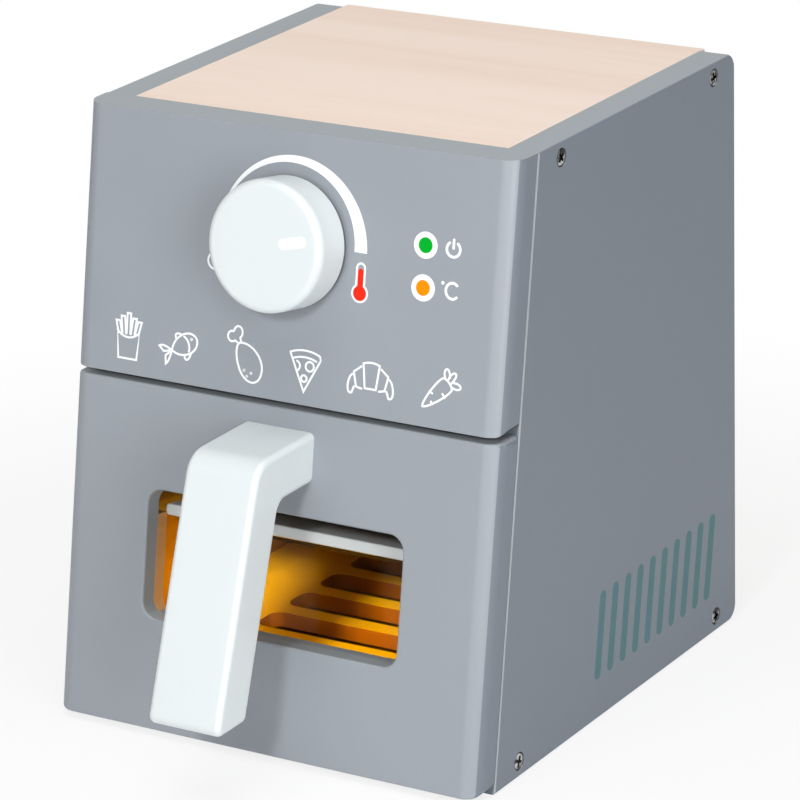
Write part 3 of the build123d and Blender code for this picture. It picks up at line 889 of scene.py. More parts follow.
@dataclass
class PrintSheet:
    """One colour of print on a flat face: slabs of ink, about a tenth of a millimetre high or less."""

    face: float
    height: float = 0.05 * MM
    sunk: float = 0.02 * MM
    layer: float = 0.002 * MM
    layers: int = 12
    least_mitre: float = 0.45
    end_steps: int = 12
    bm: bmesh.types.BMesh = field(default_factory=bmesh.new)
    laid: int = 0

    def _levels(self) -> tuple[float, float]:
        """Lower and upper level of the next slab, its top a hair off the last one's so that both show."""
        self.laid += 1
        return self.face - self.sunk, self.face + self.height + self.layer * (self.laid % self.layers)

    def strip(self, left: Sequence[Point], right: Sequence[Point], closed: bool = False) -> None:
        """A slab between two lines of points, in metres.

        Args:
            left: The line on the left, seen along the strip.
            right: The line on the right.
            closed: Whether the strip's end meets its start.
        """
        low, high = self._levels()
        rows = []
        for (lx, ly), (rx, ry) in zip(left, right):
            corners = ((lx, ly, low), (rx, ry, low), (rx, ry, high), (lx, ly, high))
            rows.append([self.bm.verts.new(corner) for corner in corners])
        spans = list(zip(rows, rows[1:] + rows[:1]))
        for here, there in spans if closed else spans[:-1]:
            for side in range(4):
                after = (side + 1) % 4
                self.bm.faces.new((here[side], here[after], there[after], there[side]))
        if not closed:
            self.bm.faces.new(rows[0][::-1])
            self.bm.faces.new(rows[-1])

    def disc(self, centre: Point, radius: float, steps: int = 32) -> None:
        """A round slab.

        Args:
            centre: Its centre, in metres.
            radius: Its radius.
            steps: How many straight runs its rim has.
        """
        low, high = self._levels()
        rim = arc(centre, radius, 0, 360, steps)[:-1]
        lower = [self.bm.verts.new((x, y, low)) for x, y in rim]
        upper = [self.bm.verts.new((x, y, high)) for x, y in rim]
        self.bm.faces.new(upper)
        self.bm.faces.new(lower[::-1])
        for index in range(len(rim)):
            after = (index + 1) % len(rim)
            self.bm.faces.new((lower[index], lower[after], upper[after], upper[index]))

    def line(self, points: Sequence[Point], width: float, closed: bool = False) -> None:
        """A line of even width with round ends.

        Args:
            points: The points along its middle, in metres.
            width: Its width.
            closed: Whether its end meets its start.
        """
        count = len(points)
        left, right = [], []
        for index, (x, y) in enumerate(points):
            before = Vector(points[index - 1]) if index or closed else Vector((x, y))
            after = Vector(points[(index + 1) % count]) if index < count - 1 or closed else Vector((x, y))
            here = Vector((x, y))
            runs = [run.normalized() for run in (here - before, after - here) if run.length > NO_LENGTH]
            along = (runs[0] + runs[-1]).normalized()
            square = Vector((-along.y, along.x))
            mitre = abs(Vector((-runs[0].y, runs[0].x)).dot(square))
            reach = width / 2 / max(self.least_mitre, mitre)
            left.append(tuple(here + square * reach))
            right.append(tuple(here - square * reach))
        self.strip(left, right, closed)
        if not closed:
            self.disc(points[0], width / 2, self.end_steps)
            self.disc(points[-1], width / 2, self.end_steps)

    def mesh(self, name: str, place: Matrix) -> bpy.types.Mesh:
        """The finished sheet, put in place."""
        bmesh.ops.recalc_face_normals(self.bm, faces=self.bm.faces)
        return mesh_from(self.bm, name, place)


@dataclass(frozen=True)
class FoodSigns:
    """Plain line drawings of food, each in millimetres about its own middle."""

    line_width: float = 0.62

    def fries(self) -> Lines:
        """A carton of chips.

        Returns:
            Its lines, each with whether its end meets its start.
        """
        carton = [(-4.0, 1.7), (-3.3, -6.9), (3.3, -6.9), (4.0, 1.7)]
        brim = arc((0, 4.6), 5.0, 218, 322, 10)
        low, half = 0.7, 0.65
        places = ((-3.0, 4.4, 12), (-1.55, 5.9, 6), (0.0, 7.0, 0), (1.55, 5.6, -6), (3.0, 4.7, -12))
        chips = []
        for foot, top, tilt in places:
            left, right = foot - half, foot + half
            shift = math.tan(math.radians(tilt)) * top
            chips.append(([(left, low), (left - shift, top), (right - shift, top), (right, low)], False))
        return [([brim[0], *carton, brim[-1]], False), (brim, False), *chips]

    def fish(self) -> Lines:
        """A fish that swims up to the right.

        Returns:
            Its lines, each with whether its end meets its start.
        """
        back = curve((-3.4, 0.0), (-1.2, 4.2), (5.6, 4.6), (6.4, 0.6))
        belly = curve((6.4, 0.6), (6.0, -3.6), (-0.8, -4.0), (-3.4, 0.0))
        tails = [
            curve((-3.4, 0.0), (-4.6, 1.4), (-5.8, 2.8), (-7.3, 2.6)) + [(-6.4, 0.6), (-3.4, 0.0)],
            curve((-3.4, 0.0), (-4.6, -1.4), (-5.8, -3.0), (-7.0, -3.2)) + [(-6.2, -0.8), (-3.4, 0.0)],
        ]
        gill = arc((1.6, 0.3), (1.5, 2.6), -62, 62, 8)
        top_fin = [(-0.9, 2.5), *curve((-0.6, 3.6), (-0.8, 4.4), (0.6, 4.6), (1.6, 3.4), 5)]
        low_fin = [(0.4, -2.7), *curve((0.2, -3.6), (0.4, -4.6), (1.6, -4.4), (2.8, -2.9), 5)]
        eye = arc((4.5, 1.1), 0.2, 0, 315, 6)
        lines = [(back + belly[1:-1], True), (eye, True)]
        lines += [(points, False) for points in (*tails, gill, top_fin, low_fin)]
        return [(turned(points, 24), closed) for points, closed in lines]

    def drumstick(self) -> Lines:
        """A leg of roast fowl, its bone to the upper left.

        Returns:
            Its lines, each with whether its end meets its start.
        """
        meat = curve((-2.2, 3.4), (1.6, 4.4), (7.4, -0.4), (5.8, -5.4)) + [
            *curve((5.8, -5.4), (4.6, -9.4), (-0.4, -8.8), (-2.4, -3.2))[1:],
            *curve((-2.4, -3.2), (-3.4, -0.6), (-3.6, 2.8), (-2.2, 3.4))[1:-1],
        ]
        upper = arc((-2.9, 6.5), (1.5, 1.8), -60, 165, 10)
        lower = arc((-5.0, 5.0), (1.5, 1.6), 75, 315, 10)
        dots = [arc(spot, 0.14, 0, 315, 6) for spot in ((-0.2, -4.6), (2.3, -5.2), (0.9, -6.3))]
        lines = [(meat, True), ([*upper, *lower, (-3.1, 3.4)], False), ([upper[0], (-1.7, 3.7)], False)]
        return lines + [(dot, True) for dot in dots]

    def pizza(self) -> Lines:
        """A slice with a crust and toppings.

        Returns:
            Its lines, each with whether its end meets its start.
        """
        slice_edge = [(-5.2, 3.6), (-0.2, -7.0), (5.2, 3.0)]
        crust = arc((-0.4, -7.6), 12.9, 66, 113, 10)
        brim = arc((-0.4, -7.6), 10.9, 68, 111, 10)
        toppings = [arc((1.5, 0.7), 1.45, 0, 330, 11), arc((-0.3, -3.1), 1.0, 0, 330, 11)]
        bitten = arc((-3.4, 0.4), 1.5, -75, 75, 8)
        ends = [crust[0], slice_edge[2]], [crust[-1], slice_edge[0]]
        lines = [(slice_edge, False), (crust, False), (brim, False), (bitten, False)]
        return lines + [(list(end), False) for end in ends] + [(topping, True) for topping in toppings]

    def croissant(self) -> Lines:
        """A crescent roll in five folds.

        Returns:
            Its lines, each with whether its end meets its start.
        """
        middle = [*arc((0, -2.6), 7.4, 112, 68, 6), (1.9, -3.0), (-1.9, -3.0)]
        lines = [(middle, True)]
        for side in (-1, 1):
            fold = [(-3.4, 3.3), (-5.9, 1.4), (-4.9, -2.9), (-3.0, -3.3)]
            tip = [(-6.4, 0.6), *curve((-7.0, 0.0), (-8.3, -2.6), (-7.9, -5.6), (-6.3, -4.9)), (-5.6, -3.0)]
            lines.append(([(side * -x, y) for x, y in fold], False))
            lines.append(([(side * -x, y) for x, y in tip], False))
        return lines

    def carrot(self) -> Lines:
        """A carrot with its leaves to the upper right.

        Returns:
            Its lines, each with whether its end meets its start.
        """
        root = curve((2.4, 2.2), (0.4, 3.0), (-8.2, 1.2), (-8.6, 0.0)) + curve(
            (-8.6, 0.0), (-8.2, -1.2), (0.4, -3.0), (2.4, -2.2)
        )[1:]
        shoulder = arc((2.2, 0.0), (0.9, 2.2), 90, -90, 8)[1:-1]
        leaves = [
            curve((2.8, 1.4), (3.6, 4.6), (7.0, 4.2), (4.3, 0.9)),
            curve((3.2, 0.7), (6.4, 2.6), (8.8, -0.4), (3.4, -0.6)),
            curve((4.2, -0.8), (7.2, -3.6), (4.2, -5.0), (2.9, -1.5)),
        ]
        marks = [[(-3.8, 2.0), (-3.5, 0.9)], [(-1.0, -2.5), (-0.8, -1.2)], [(-5.6, -1.5), (-5.4, -0.7)]]
        lines = [(root + shoulder[::-1], True)] + [(points, False) for points in leaves + marks]
        return [(turned(points, 44), closed) for points, closed in lines]


@dataclass(frozen=True)
class Cabinet:
    """The cabinet: painted boards with soft edges, a bare wooden top, screws and printed vents."""

    front: LeaningFront
    edge_zone: float = 4.0 * MM
    board_edge: float = 0.7 * MM
    seam_edge: float = 0.35 * MM
    level_share: float = 0.7
    under_share: float = 0.4
    # Normals of the side panels' front edge faces that get painted light
    lit_edge: Pair = (0.195, 0.78)
    vent_count: int = 10
    vent_pitch: float = 8.0 * MM
    vent_width: float = 3.8 * MM
    vent_low: float = 13.0 * MM
    vent_high: float = 40.6 * MM
    vent_start: float = 60.8 * MM
    vent_ink: float = 0.02 * MM
    vent_sunk_share: float = 0.5
    vent_end_share: float = 0.499
    vent_end_steps: int = 8
    head_diameter: float = 5.8 * MM
    head_dome: float = 0.3 * MM
    head_height: float = 1.7 * MM
    shank_diameter: float = 3.0 * MM
    recess_length: float = 3.4 * MM
    recess_width: float = 0.9 * MM
    recess_depth: float = 1.2 * MM
    rim_share: float = 0.86
    top_share: float = 0.99
    head_sides: int = 40
    head_bands: int = 2
    head_rings: int = 6
    shank_sides: int = 24
    turn_seed: int = 7

    def build(self) -> None:
        """Builds and dresses the cabinet."""
        self.sides()
        self.top()
        self.control_panel()
        self.inner_boards()
        for side, name in ((-1, "left"), (1, "right")):
            self.screws(side, name)
            self.vents(side, name)

    def sides(self) -> None:
        """The painted side panels."""
        for name in ("side_panel_left", "side_panel_right"):
            self.side_panel(name)

    def side_panel(self, name: str) -> None:
        """One side panel, with soft edges at the top and at the front of its outer face.

        Args:
            name: The panel's CAD node.
        """
        low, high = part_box(name)
        outer = max(abs(low.x), abs(high.x))
        least, most = self.lit_edge

        def chosen(middle: Vector) -> bool:
            """Whether an edge is at the top or at the front of the outer face."""
            at_front = abs(middle.x) > outer - MERGE_DISTANCE and self.front.local(middle).z > -self.seam_edge
            return middle.z > high.z - MERGE_DISTANCE or at_front

        def lit(face: bpy.types.MeshPolygon) -> bool:
            """Whether a face is level or on the softened front edge, which get painted light."""
            return face.normal.z > self.level_share or least < -face.normal.y < most

        # Painted shade: the panel takes the darker copy of the grey paint, for a face turned to the side
        board = SoftenedNode(name, GREY_SHADED_SIDE, Body.CABINET, self.seam_edge).build(chosen)
        # Painted light: the level faces and the softened front edge take a lighter copy of the grey paint
        second_finish(board, GREY_LIT_TOP, lit)

    def top(self) -> None:
        """The bare wooden top."""
        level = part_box("top_panel")[1].z
        copy = SoftenedNode("top_panel", TOP_WOOD, Body.CABINET, self.seam_edge)
        copy.build(lambda middle: middle.z > level - MERGE_DISTANCE)

    def control_panel(self) -> None:
        """The painted control panel."""
        board = soften_front(
            self.front, "control_panel", GREY_FRONT, Body.CABINET, self.board_edge, self.edge_zone
        )
        # Painted shadow: the faces turned down get near black, for the shade in the gap under the panel
        second_finish(board, PANEL_UNDER_SHADOW, lambda face: face.normal.z < -self.under_share)

    def inner_boards(self) -> None:
        """The boards and dowels that show little or nothing."""
        finishes = {
            "bottom_panel": INNER_WOOD,
            "back_panel": BACK_WOOD,
            # The shelf's near black is painted shadow for the gap under the control panel
            "divider_shelf": SHELF_SHADE_WOOD,
            "control_panel_dowels": DOWEL_WOOD,
        }
        dress_nodes(finishes)

    def side_matrix(self, side: int) -> Matrix:
        """From back, up and outward to the model's frame.

        Args:
            side: -1 for the left side, 1 for the right.

        Returns:
            The matrix.
        """
        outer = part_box("side_panel_right")[1].x
        place = Matrix(((0, 0, side), (1, 0, 0), (0, side, 0))).to_4x4()
        place.translation = Vector((side * outer, 0, 0))
        return place

    def screws(self, side: int, name: str) -> None:
        """The four countersunk screws of one side, with a dome, a cross recess and painted shade on the rims
        and in the recesses.

        Args:
            side: -1 for the left side, 1 for the right.
            name: The side's name.
        """
        low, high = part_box(f"side_screws_{name}")
        outer = max(abs(low.x), abs(high.x))
        radius = self.head_diameter / 2
        lower, upper, rear = low.z + radius, high.z - radius, high.y - radius
        foremost = low.y + radius
        upper_front = foremost + (upper - lower) * math.tan(self.front.lean)
        spots = [(foremost, lower), (upper_front, upper), (rear, lower), (rear, upper)]
        tree = self.screw_tree(f"screw_set_{name}")
        sizes = {
            "Head radius": radius,
            "Dome": self.head_dome,
            "Head height": self.head_height,
            "Shank radius": self.shank_diameter / 2,
            "Length": high.x - low.x,
            "Recess length": self.recess_length,
            "Recess width": self.recess_width,
            "Recess depth": self.recess_depth,
        }
        mesh = tree.mesh([Vector((y, side * level, 0)) for y, level in spots], sizes)
        mesh.transform(self.side_matrix(side))
        piece = add_piece(
            f"side_screws_{name}_finished", mesh, POLISHED_STEEL, Body.CABINET, [f"side_screws_{name}"]
        )

        def in_shade(face: bpy.types.MeshPolygon) -> bool:
            """Whether a face is on a head's rim or in its recess, where shade is painted.

            Args:
                face: The face.

            Returns:
                True if it is.
            """
            reach = min(math.hypot(face.center.y - y, face.center.z - level) for y, level in spots)
            in_recess = reach < self.recess_length / 2 and abs(face.center.x) < outer - self.head_dome * 2
            return in_recess or reach > radius * self.rim_share

        # Painted shade on the heads' rims and in their recesses
        second_finish(piece, SCREW_SHADE_STEEL, in_shade)

    def screw_tree(self, name: str) -> ShapeTree:
        """A tree that sets a countersunk screw with its head outward at each point.

        Args:
            name: The tree's name.

        Returns:
            The tree.
        """
        tree = ShapeTree(name)
        head_radius, dome, head_height = tree.size("Head radius"), tree.size("Dome"), tree.size("Head height")
        shank_radius, length = tree.size("Shank radius"), tree.size("Length")
        recess = tree.size("Recess length"), tree.size("Recess width"), tree.size("Recess depth")
        cone = tree.node(
            "GeometryNodeMeshCone",
            {"fill_type": "TRIANGLE_FAN"},
            {
                "Vertices": self.head_sides,
                "Side Segments": self.head_bands,
                "Fill Segments": self.head_rings,
                "Radius Top": head_radius,
                "Radius Bottom": shank_radius,
                "Depth": head_height,
            },
            output="Mesh",
        )
        spot = tree.node("GeometryNodeInputPosition")
        x, y, z = (tree.node("ShaderNodeSeparateXYZ", inputs={0: spot}, output=axis) for axis in (0, 1, 2))
        share = (x * x + y * y) / (head_radius * head_radius)
        on_top = z > head_height * self.top_share
        lift = (1 - share) * dome * on_top - head_height - dome
        offset = tree.node("ShaderNodeCombineXYZ", inputs={2: lift})
        head = tree.node("GeometryNodeSetPosition", inputs={"Geometry": cone, "Offset": offset})
        cutters = []
        for wide, long in ((recess[0], recess[1]), (recess[1], recess[0])):
            size = tree.node("ShaderNodeCombineXYZ", inputs={0: wide, 1: long, 2: recess[2] * 2})
            cutters.append(tree.node("GeometryNodeMeshCube", inputs={"Size": size}, output="Mesh"))
        solver = {"operation": "DIFFERENCE", "solver": "EXACT"}
        for cutter in cutters:
            head = tree.node("GeometryNodeMeshBoolean", solver, {"Mesh 1": head, "Mesh 2": cutter}, "Mesh")
        shank_length = length - dome - head_height
        shank = tree.node(
            "GeometryNodeMeshCylinder",
            {"fill_type": "TRIANGLE_FAN"},
            {"Vertices": self.shank_sides, "Radius": shank_radius, "Depth": shank_length},
            output="Mesh",
        )
        drop = tree.node("ShaderNodeCombineXYZ", inputs={2: shank_length * -0.5 - head_height - dome})
        shank = tree.node("GeometryNodeTransform", inputs={"Geometry": shank, "Translation": drop})
        screw = tree.node("GeometryNodeJoinGeometry", inputs={0: [head, shank]})
        span = {2: 0.0, 3: FULL_TURN / 4, "Seed": self.turn_seed}
        angle = tree.node("FunctionNodeRandomValue", {"data_type": "FLOAT"}, span, output=1)
        turn = tree.node("ShaderNodeCombineXYZ", inputs={2: angle})
        points = Value(tree, tree.entry.outputs["Geometry"])
        inputs = {"Points": points, "Instance": screw, "Rotation": turn}
        tree.end(tree.node("GeometryNodeInstanceOnPoints", inputs=inputs), POLISHED_STEEL)
        return tree

    def vents(self, side: int, name: str) -> None:
        """The printed vent stripes of one side, which follow the lean of the front.

        Args:
            side: -1 for the left side, 1 for the right.
            name: The side's name.
        """
        middle = (self.vent_low + self.vent_high) / 2
        start = self.front.foot_y + middle * math.tan(self.front.lean) + self.vent_start
        tree = self.vent_tree(f"vent_stripes_{name}")
        sizes = {
            "Count": float(self.vent_count),
            "Pitch": self.vent_pitch,
            "Width": self.vent_width,
            "Length": (self.vent_high - self.vent_low) / math.cos(self.front.lean),
            "Turn": -side * self.front.lean,
            "Ink": self.vent_ink,
        }
        mesh = tree.mesh([Vector((start, side * middle, -self.vent_ink * self.vent_sunk_share))], sizes)
        mesh.transform(self.side_matrix(side))
        add_piece(f"vents_{name}", mesh, VENT_INK, Body.CABINET)

    def vent_tree(self, name: str) -> ShapeTree:
        """A tree that repeats a stripe with round ends at an even pitch from each point.

        Args:
            name: The tree's name.

        Returns:
            The tree.
        """
        tree = ShapeTree(name)
        count, pitch, width = tree.size("Count"), tree.size("Pitch"), tree.size("Width")
        length, turn, ink = tree.size("Length"), tree.size("Turn"), tree.size("Ink")
        box = tree.node("GeometryNodeCurvePrimitiveQuadrilateral", inputs={"Width": width, "Height": length})
        radius = width * self.vent_end_share
        fillet = {"Curve": box, "Radius": radius, "Count": self.vent_end_steps, "Limit Radius": True}
        outline = tree.node("GeometryNodeFilletCurve", {"mode": "POLY"}, fillet)
        face = tree.node("GeometryNodeFillCurve", {"mode": "NGONS"}, {0: outline})
        height = ink * (1 + self.vent_sunk_share)
        lift = {"Mesh": face, "Offset Scale": height}
        raised = tree.node("GeometryNodeExtrudeMesh", {"mode": "FACES"}, lift, output="Mesh")
        under = tree.node("GeometryNodeFlipFaces", inputs={0: face})
        slab = tree.node("GeometryNodeJoinGeometry", inputs={0: [raised, under]})
        slab = tree.node("GeometryNodeMergeByDistance", inputs={"Geometry": slab, "Distance": FINE_MERGE})
        step = tree.node("ShaderNodeCombineXYZ", inputs={0: pitch})
        row = tree.node("GeometryNodeMeshLine", {"mode": "OFFSET"}, {"Count": count, "Offset": step})
        rotation = tree.node("ShaderNodeCombineXYZ", inputs={2: turn})
        row_inputs = {"Points": row, "Instance": slab, "Rotation": rotation}
        row = tree.node("GeometryNodeInstanceOnPoints", inputs=row_inputs)
        points = Value(tree, tree.entry.outputs["Geometry"])
        rows = tree.node("GeometryNodeInstanceOnPoints", inputs={"Points": points, "Instance": row})
        tree.end(rows, VENT_INK)
        return tree


def dress_nodes(finishes: dict[str, Finish]) -> None:
    """Gives CAD nodes that stay their finish.

    Args:
        finishes: The finish of each node.
    """
    for node, finish in finishes.items():
        piece = bpy.data.objects[node]
        if not piece.material_slots:
            piece.data.materials.append(None)
        for holder in piece.material_slots:
            holder.material = finish.material()
        LOG.info("node %s: %s", node, finish.name)


def soften_front(
    front: LeaningFront, node: str, finish: Finish, body: Body, radius: float, zone: float
) -> bpy.types.Object:
    """Softens a leaning board's outline edges, paints shade on its ends in the side panels' darker grey, and
    paints light on its level faces.

    Args:
        front: The leaning plane.
        node: The board.
        finish: Its finish.
        body: The body that it rides on.
        radius: The edges' radius.
        zone: How near to the outline an edge is softened.

    Returns:
        The piece, which replaces the board.
    """
    low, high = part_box(node)

    def chosen(middle: Vector) -> bool:
        """Whether an edge runs round the board's outer face."""
        near = abs(middle.x) > high.x - zone or middle.z < low.z + zone or middle.z > high.z - zone
        return near and front.local(middle).z > zone / 2

    def at_end(face: bpy.types.MeshPolygon) -> bool:
        """Whether a face is at one of the board's two ends."""
        return abs(face.normal.x) > END_SHARE and abs(face.center.x) > high.x - zone

    board = SoftenedNode(node, finish, body, radius).build(chosen)
    # Painted shade: the board's ends take the darker grey of a face turned to the side
    second_finish(board, GREY_SHADED_SIDE, at_end)
    # Painted light: the level faces take a lighter copy of the grey paint
    second_finish(board, GREY_LIT_TOP, lambda face: face.normal.z > END_SHARE)
    return board


@dataclass(frozen=True)
class ControlKnob:
    """The white turning knob with its pointer, on a dark washer."""

    front: LeaningFront
    diameter: float = 39.6 * MM
    face_radius: float = 2.4 * MM
    rear_radius: float = 0.5 * MM
    pointer_inner: float = 5.5 * MM
    pointer_outer: float = 15.0 * MM
    pointer_width: float = 3.4 * MM
    pointer_angle: float = 13.0
    pointer_ink: float = 0.12 * MM
    shadow_rim_share: float = 0.9
    edge_gap: float = 0.4 * MM
    rear_rings: tuple[float, ...] = (0.0, 0.35, 0.9)
    face_rings: tuple[float, ...] = (0.97, 0.6, 0.25, 0.0)
    rear_steps: int = 4
    face_steps: int = 12
    steps: int = 128

    def extent(self) -> tuple[float, float, float]:
        """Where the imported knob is.

        Returns:
            Height of the axis up the slope, and the rear and front faces' distance outward.
        """
        local = [self.front.local(v.co) for v in bpy.data.objects["knob"].data.vertices]
        heights = [point.y for point in local]
        depths = [point.z for point in local]
        return (min(heights) + max(heights)) / 2, min(depths), max(depths)

    def profile(self, rear: float, face: float) -> list[Point]:
        """The outline that is turned about the axis.

        Args:
            rear: The rear face's distance outward.
            face: The front face's distance outward.

        Returns:
            Radius and distance outward, from the rear's middle to the face's middle.
        """
        radius, soft, back = self.diameter / 2, self.face_radius, self.rear_radius
        points = [(radius * share, rear) for share in self.rear_rings]
        points += arc((radius - back, rear + back), back, -90, 0, self.rear_steps)
        points += [(radius, rear + back + self.edge_gap), (radius, face - soft - self.edge_gap)]
        points += arc((radius - soft, face - soft), soft, 0, 90, self.face_steps)
        points += [((radius - soft) * share, face) for share in self.face_rings]
        return points

    def build(self) -> None:
        """Builds the knob and its pointer, and dresses what holds it."""
        height, rear, face = self.extent()
        bm = bmesh.new()
        rings = []
        for radius, out in self.profile(rear, face):
            angles = [FULL_TURN * step / self.steps for step in range(self.steps)] if radius else [0.0]
            spots = [(radius * math.cos(a), height + radius * math.sin(a), out) for a in angles]
            rings.append([bm.verts.new(spot) for spot in spots])
        for inner, outer in zip(rings, rings[1:]):
            for step in range(self.steps):
                after = (step + 1) % self.steps
                corners = [inner[step % len(inner)], outer[step % len(outer)]]
                corners += [outer[after % len(outer)], inner[after % len(inner)]]
                bm.faces.new(list(dict.fromkeys(corners)))
        bmesh.ops.recalc_face_normals(bm, faces=bm.faces)
        mesh = mesh_from(bm, "knob_finished", self.front.matrix)
        knob = add_piece("knob_finished", mesh, WHITE_PAINT, Body.KNOB, ["knob"])
        # Painted shadow: the knob's rear rim takes the near black felt, for the shade line at its base
        rim = rear + self.rear_radius * self.shadow_rim_share
        second_finish(knob, DARK_FELT_AND_SHADE, lambda spot: self.front.local(spot.center).z < rim)
        self.pointer(height, face)
        finishes = {
            "knob_washer": DARK_FELT_AND_SHADE,
            "knob_axle": DOWEL_WOOD,
            "knob_retaining_disc": INNER_WOOD,
            "knob_retaining_screw": ZINC_STEEL,
        }
        dress_nodes(finishes)

    def pointer(self, height: float, face: float) -> None:
        """The printed pointer on the knob's face.

        Args:
            height: Height of the axis up the slope.
            face: The front face's distance outward.
        """
        sheet = PrintSheet(face, height=self.pointer_ink)
        reach = self.pointer_width / 2
        line = [(self.pointer_inner + reach, 0.0), (self.pointer_outer - reach, 0.0)]
        ends = [(x, y + height) for x, y in turned(line, self.pointer_angle)]
        sheet.line(ends, self.pointer_width)
        add_piece("knob_pointer", sheet.mesh("knob_pointer", self.front.matrix), WHITE_INK, Body.KNOB)


@dataclass(frozen=True)
class ControlPrint:
    """The print on the control panel: the dial's arc, two thermometers, lamps, signs and food."""

    front: LeaningFront
    face: float
    dial_height: float
    arc_radius: float = 24.55 * MM
    arc_wide: float = 4.3 * MM
    arc_narrow: float = 0.15 * MM
    arc_steps: int = 72
    hot_bulb: Point = (25.0 * MM, 144.2 * MM)
    cold_bulb: Point = (-25.5 * MM, 147.0 * MM)
    bulb_diameter: float = 5.7 * MM
    stem_height: float = 9.15 * MM
    stem_width: float = 3.3 * MM
    gauge_line: float = 0.6 * MM
    bulb_steps: int = 24
    stem_steps: int = 10
    fill_height: float = 6.4 * MM
    fill_diameter: float = 4.62 * MM
    fill_width: float = 1.86 * MM
    lamp_x: float = 46.2 * MM
    green_height: float = 161.3 * MM
    orange_height: float = 148.8 * MM
    lamp_diameter: float = 7.9 * MM
    lens_diameter: float = 4.65 * MM
    lens_ink: float = 0.09 * MM
    lamp_steps: int = 48
    lens_steps: int = 40
    power_centre: Point = (55.5 * MM, 161.3 * MM)
    power_diameter: float = 5.3 * MM
    power_ring: Pair = (128.0, 412.0)
    power_bar: Pair = (0.15, 1.25)
    power_steps: int = 28
    sign_line: float = 0.82 * MM
    degree_centre: Point = (52.7 * MM, 151.2 * MM)
    celsius_centre: Point = (56.0 * MM, 149.2 * MM)
    celsius_size: Point = (5.2 * MM, 5.5 * MM)
    celsius_ring: Pair = (48.0, 312.0)
    celsius_steps: int = 24
    degree_radius: float = 0.533 * MM
    degree_steps: int = 16
    fries_place: Point = (-55.2 * MM, 119.9 * MM)
    fish_place: Point = (-36.1 * MM, 119.3 * MM)
    drumstick_place: Point = (-13.1 * MM, 120.3 * MM)
    pizza_place: Point = (8.0 * MM, 119.4 * MM)
    croissant_place: Point = (30.6 * MM, 119.6 * MM)
    carrot_place: Point = (54.7 * MM, 120.3 * MM)

    def build(self) -> None:
        """Prints each colour."""
        white = PrintSheet(self.face)
        self.dial_arc(white)
        for bulb in (self.cold_bulb, self.hot_bulb):
            white.line(self.gauge_outline(bulb), self.gauge_line, closed=True)
        for height in (self.green_height, self.orange_height):
            white.disc((self.lamp_x, height), self.lamp_diameter / 2, self.lamp_steps)
        self.power_sign(white)
        self.celsius_sign(white)
        self.food(white)
        self.lay(white, "white_print", WHITE_INK)
        self.lay(self.lens(self.green_height), "green_lamp", GREEN_INK)
        self.lay(self.lens(self.orange_height), "orange_lamp", ORANGE_INK)
        self.lay(self.hot_fill(), "thermometer_fill", RED_INK)

    def lay(self, sheet: PrintSheet, name: str, ink: Ink) -> None:
        """Puts a sheet on the panel."""
        add_piece(name, sheet.mesh(name, self.front.matrix), ink, Body.CABINET)

    def dial_arc(self, sheet: PrintSheet) -> None:
        """The arc round the knob, which narrows from right to left.

        Args:
            sheet: The sheet that it is laid on.
        """
        shares = [step / self.arc_steps for step in range(self.arc_steps + 1)]
        widths = [self.arc_wide + (self.arc_narrow - self.arc_wide) * share for share in shares]
        angles = [math.pi * share for share in shares]
        sides = []
        for side in (-0.5, 0.5):
            radii = [self.arc_radius + side * width for width in widths]
            pairs = zip(radii, angles)
            sides.append([(r * math.cos(a), self.dial_height + r * math.sin(a)) for r, a in pairs])
        sheet.strip(sides[0], sides[1])

    def gauge_outline(self, bulb: Point) -> list[Point]:
        """Outline of a thermometer, as the middle of its line.

        Args:
            bulb: The bulb's middle.

        Returns:
            The points round it, from the stem's right foot down round the bulb and over the stem's top.
        """
        radius = (self.bulb_diameter - self.gauge_line) / 2
        half = (self.stem_width - self.gauge_line) / 2
        open_angle = math.degrees(math.asin(half / radius))
        top = bulb[1] + self.stem_height - self.gauge_line / 2 - half
        round_bulb = arc(bulb, radius, 90 - open_angle, -270 + open_angle, self.bulb_steps)
        return round_bulb + arc((bulb[0], top), half, 180, 0, self.stem_steps)

    def hot_fill(self) -> PrintSheet:
        """The red in the hot thermometer.

        Returns:
            A sheet of its own, for its own colour.
        """
        sheet = PrintSheet(self.face)
        x, y = self.hot_bulb
        sheet.disc((x, y), self.fill_diameter / 2)
        sheet.line([(x, y), (x, y + self.fill_height)], self.fill_width)
        return sheet

    def lens(self, height: float) -> PrintSheet:
        """The coloured middle of a lamp.

        Args:
            height: The lamp's height up the slope.

        Returns:
            A sheet of its own, for its own colour.
        """
        sheet = PrintSheet(self.face, height=self.lens_ink)
        sheet.disc((self.lamp_x, height), self.lens_diameter / 2, self.lens_steps)
        return sheet

    def power_sign(self, sheet: PrintSheet) -> None:
        """The usual sign for a switch: an open ring with a bar.

        Args:
            sheet: The sheet that it is laid on.
        """
        x, y = self.power_centre
        radius = (self.power_diameter - self.sign_line) / 2
        sheet.line(arc((x, y), radius, *self.power_ring, self.power_steps), self.sign_line)
        sheet.line([(x, y + radius * share) for share in self.power_bar], self.sign_line)

    def celsius_sign(self, sheet: PrintSheet) -> None:
        """The sign for degrees Celsius.

        Args:
            sheet: The sheet that it is laid on.
        """
        sheet.disc(self.degree_centre, self.degree_radius, self.degree_steps)
        half = tuple((size - self.sign_line) / 2 for size in self.celsius_size)
        sheet.line(arc(self.celsius_centre, half, *self.celsius_ring, self.celsius_steps), self.sign_line)

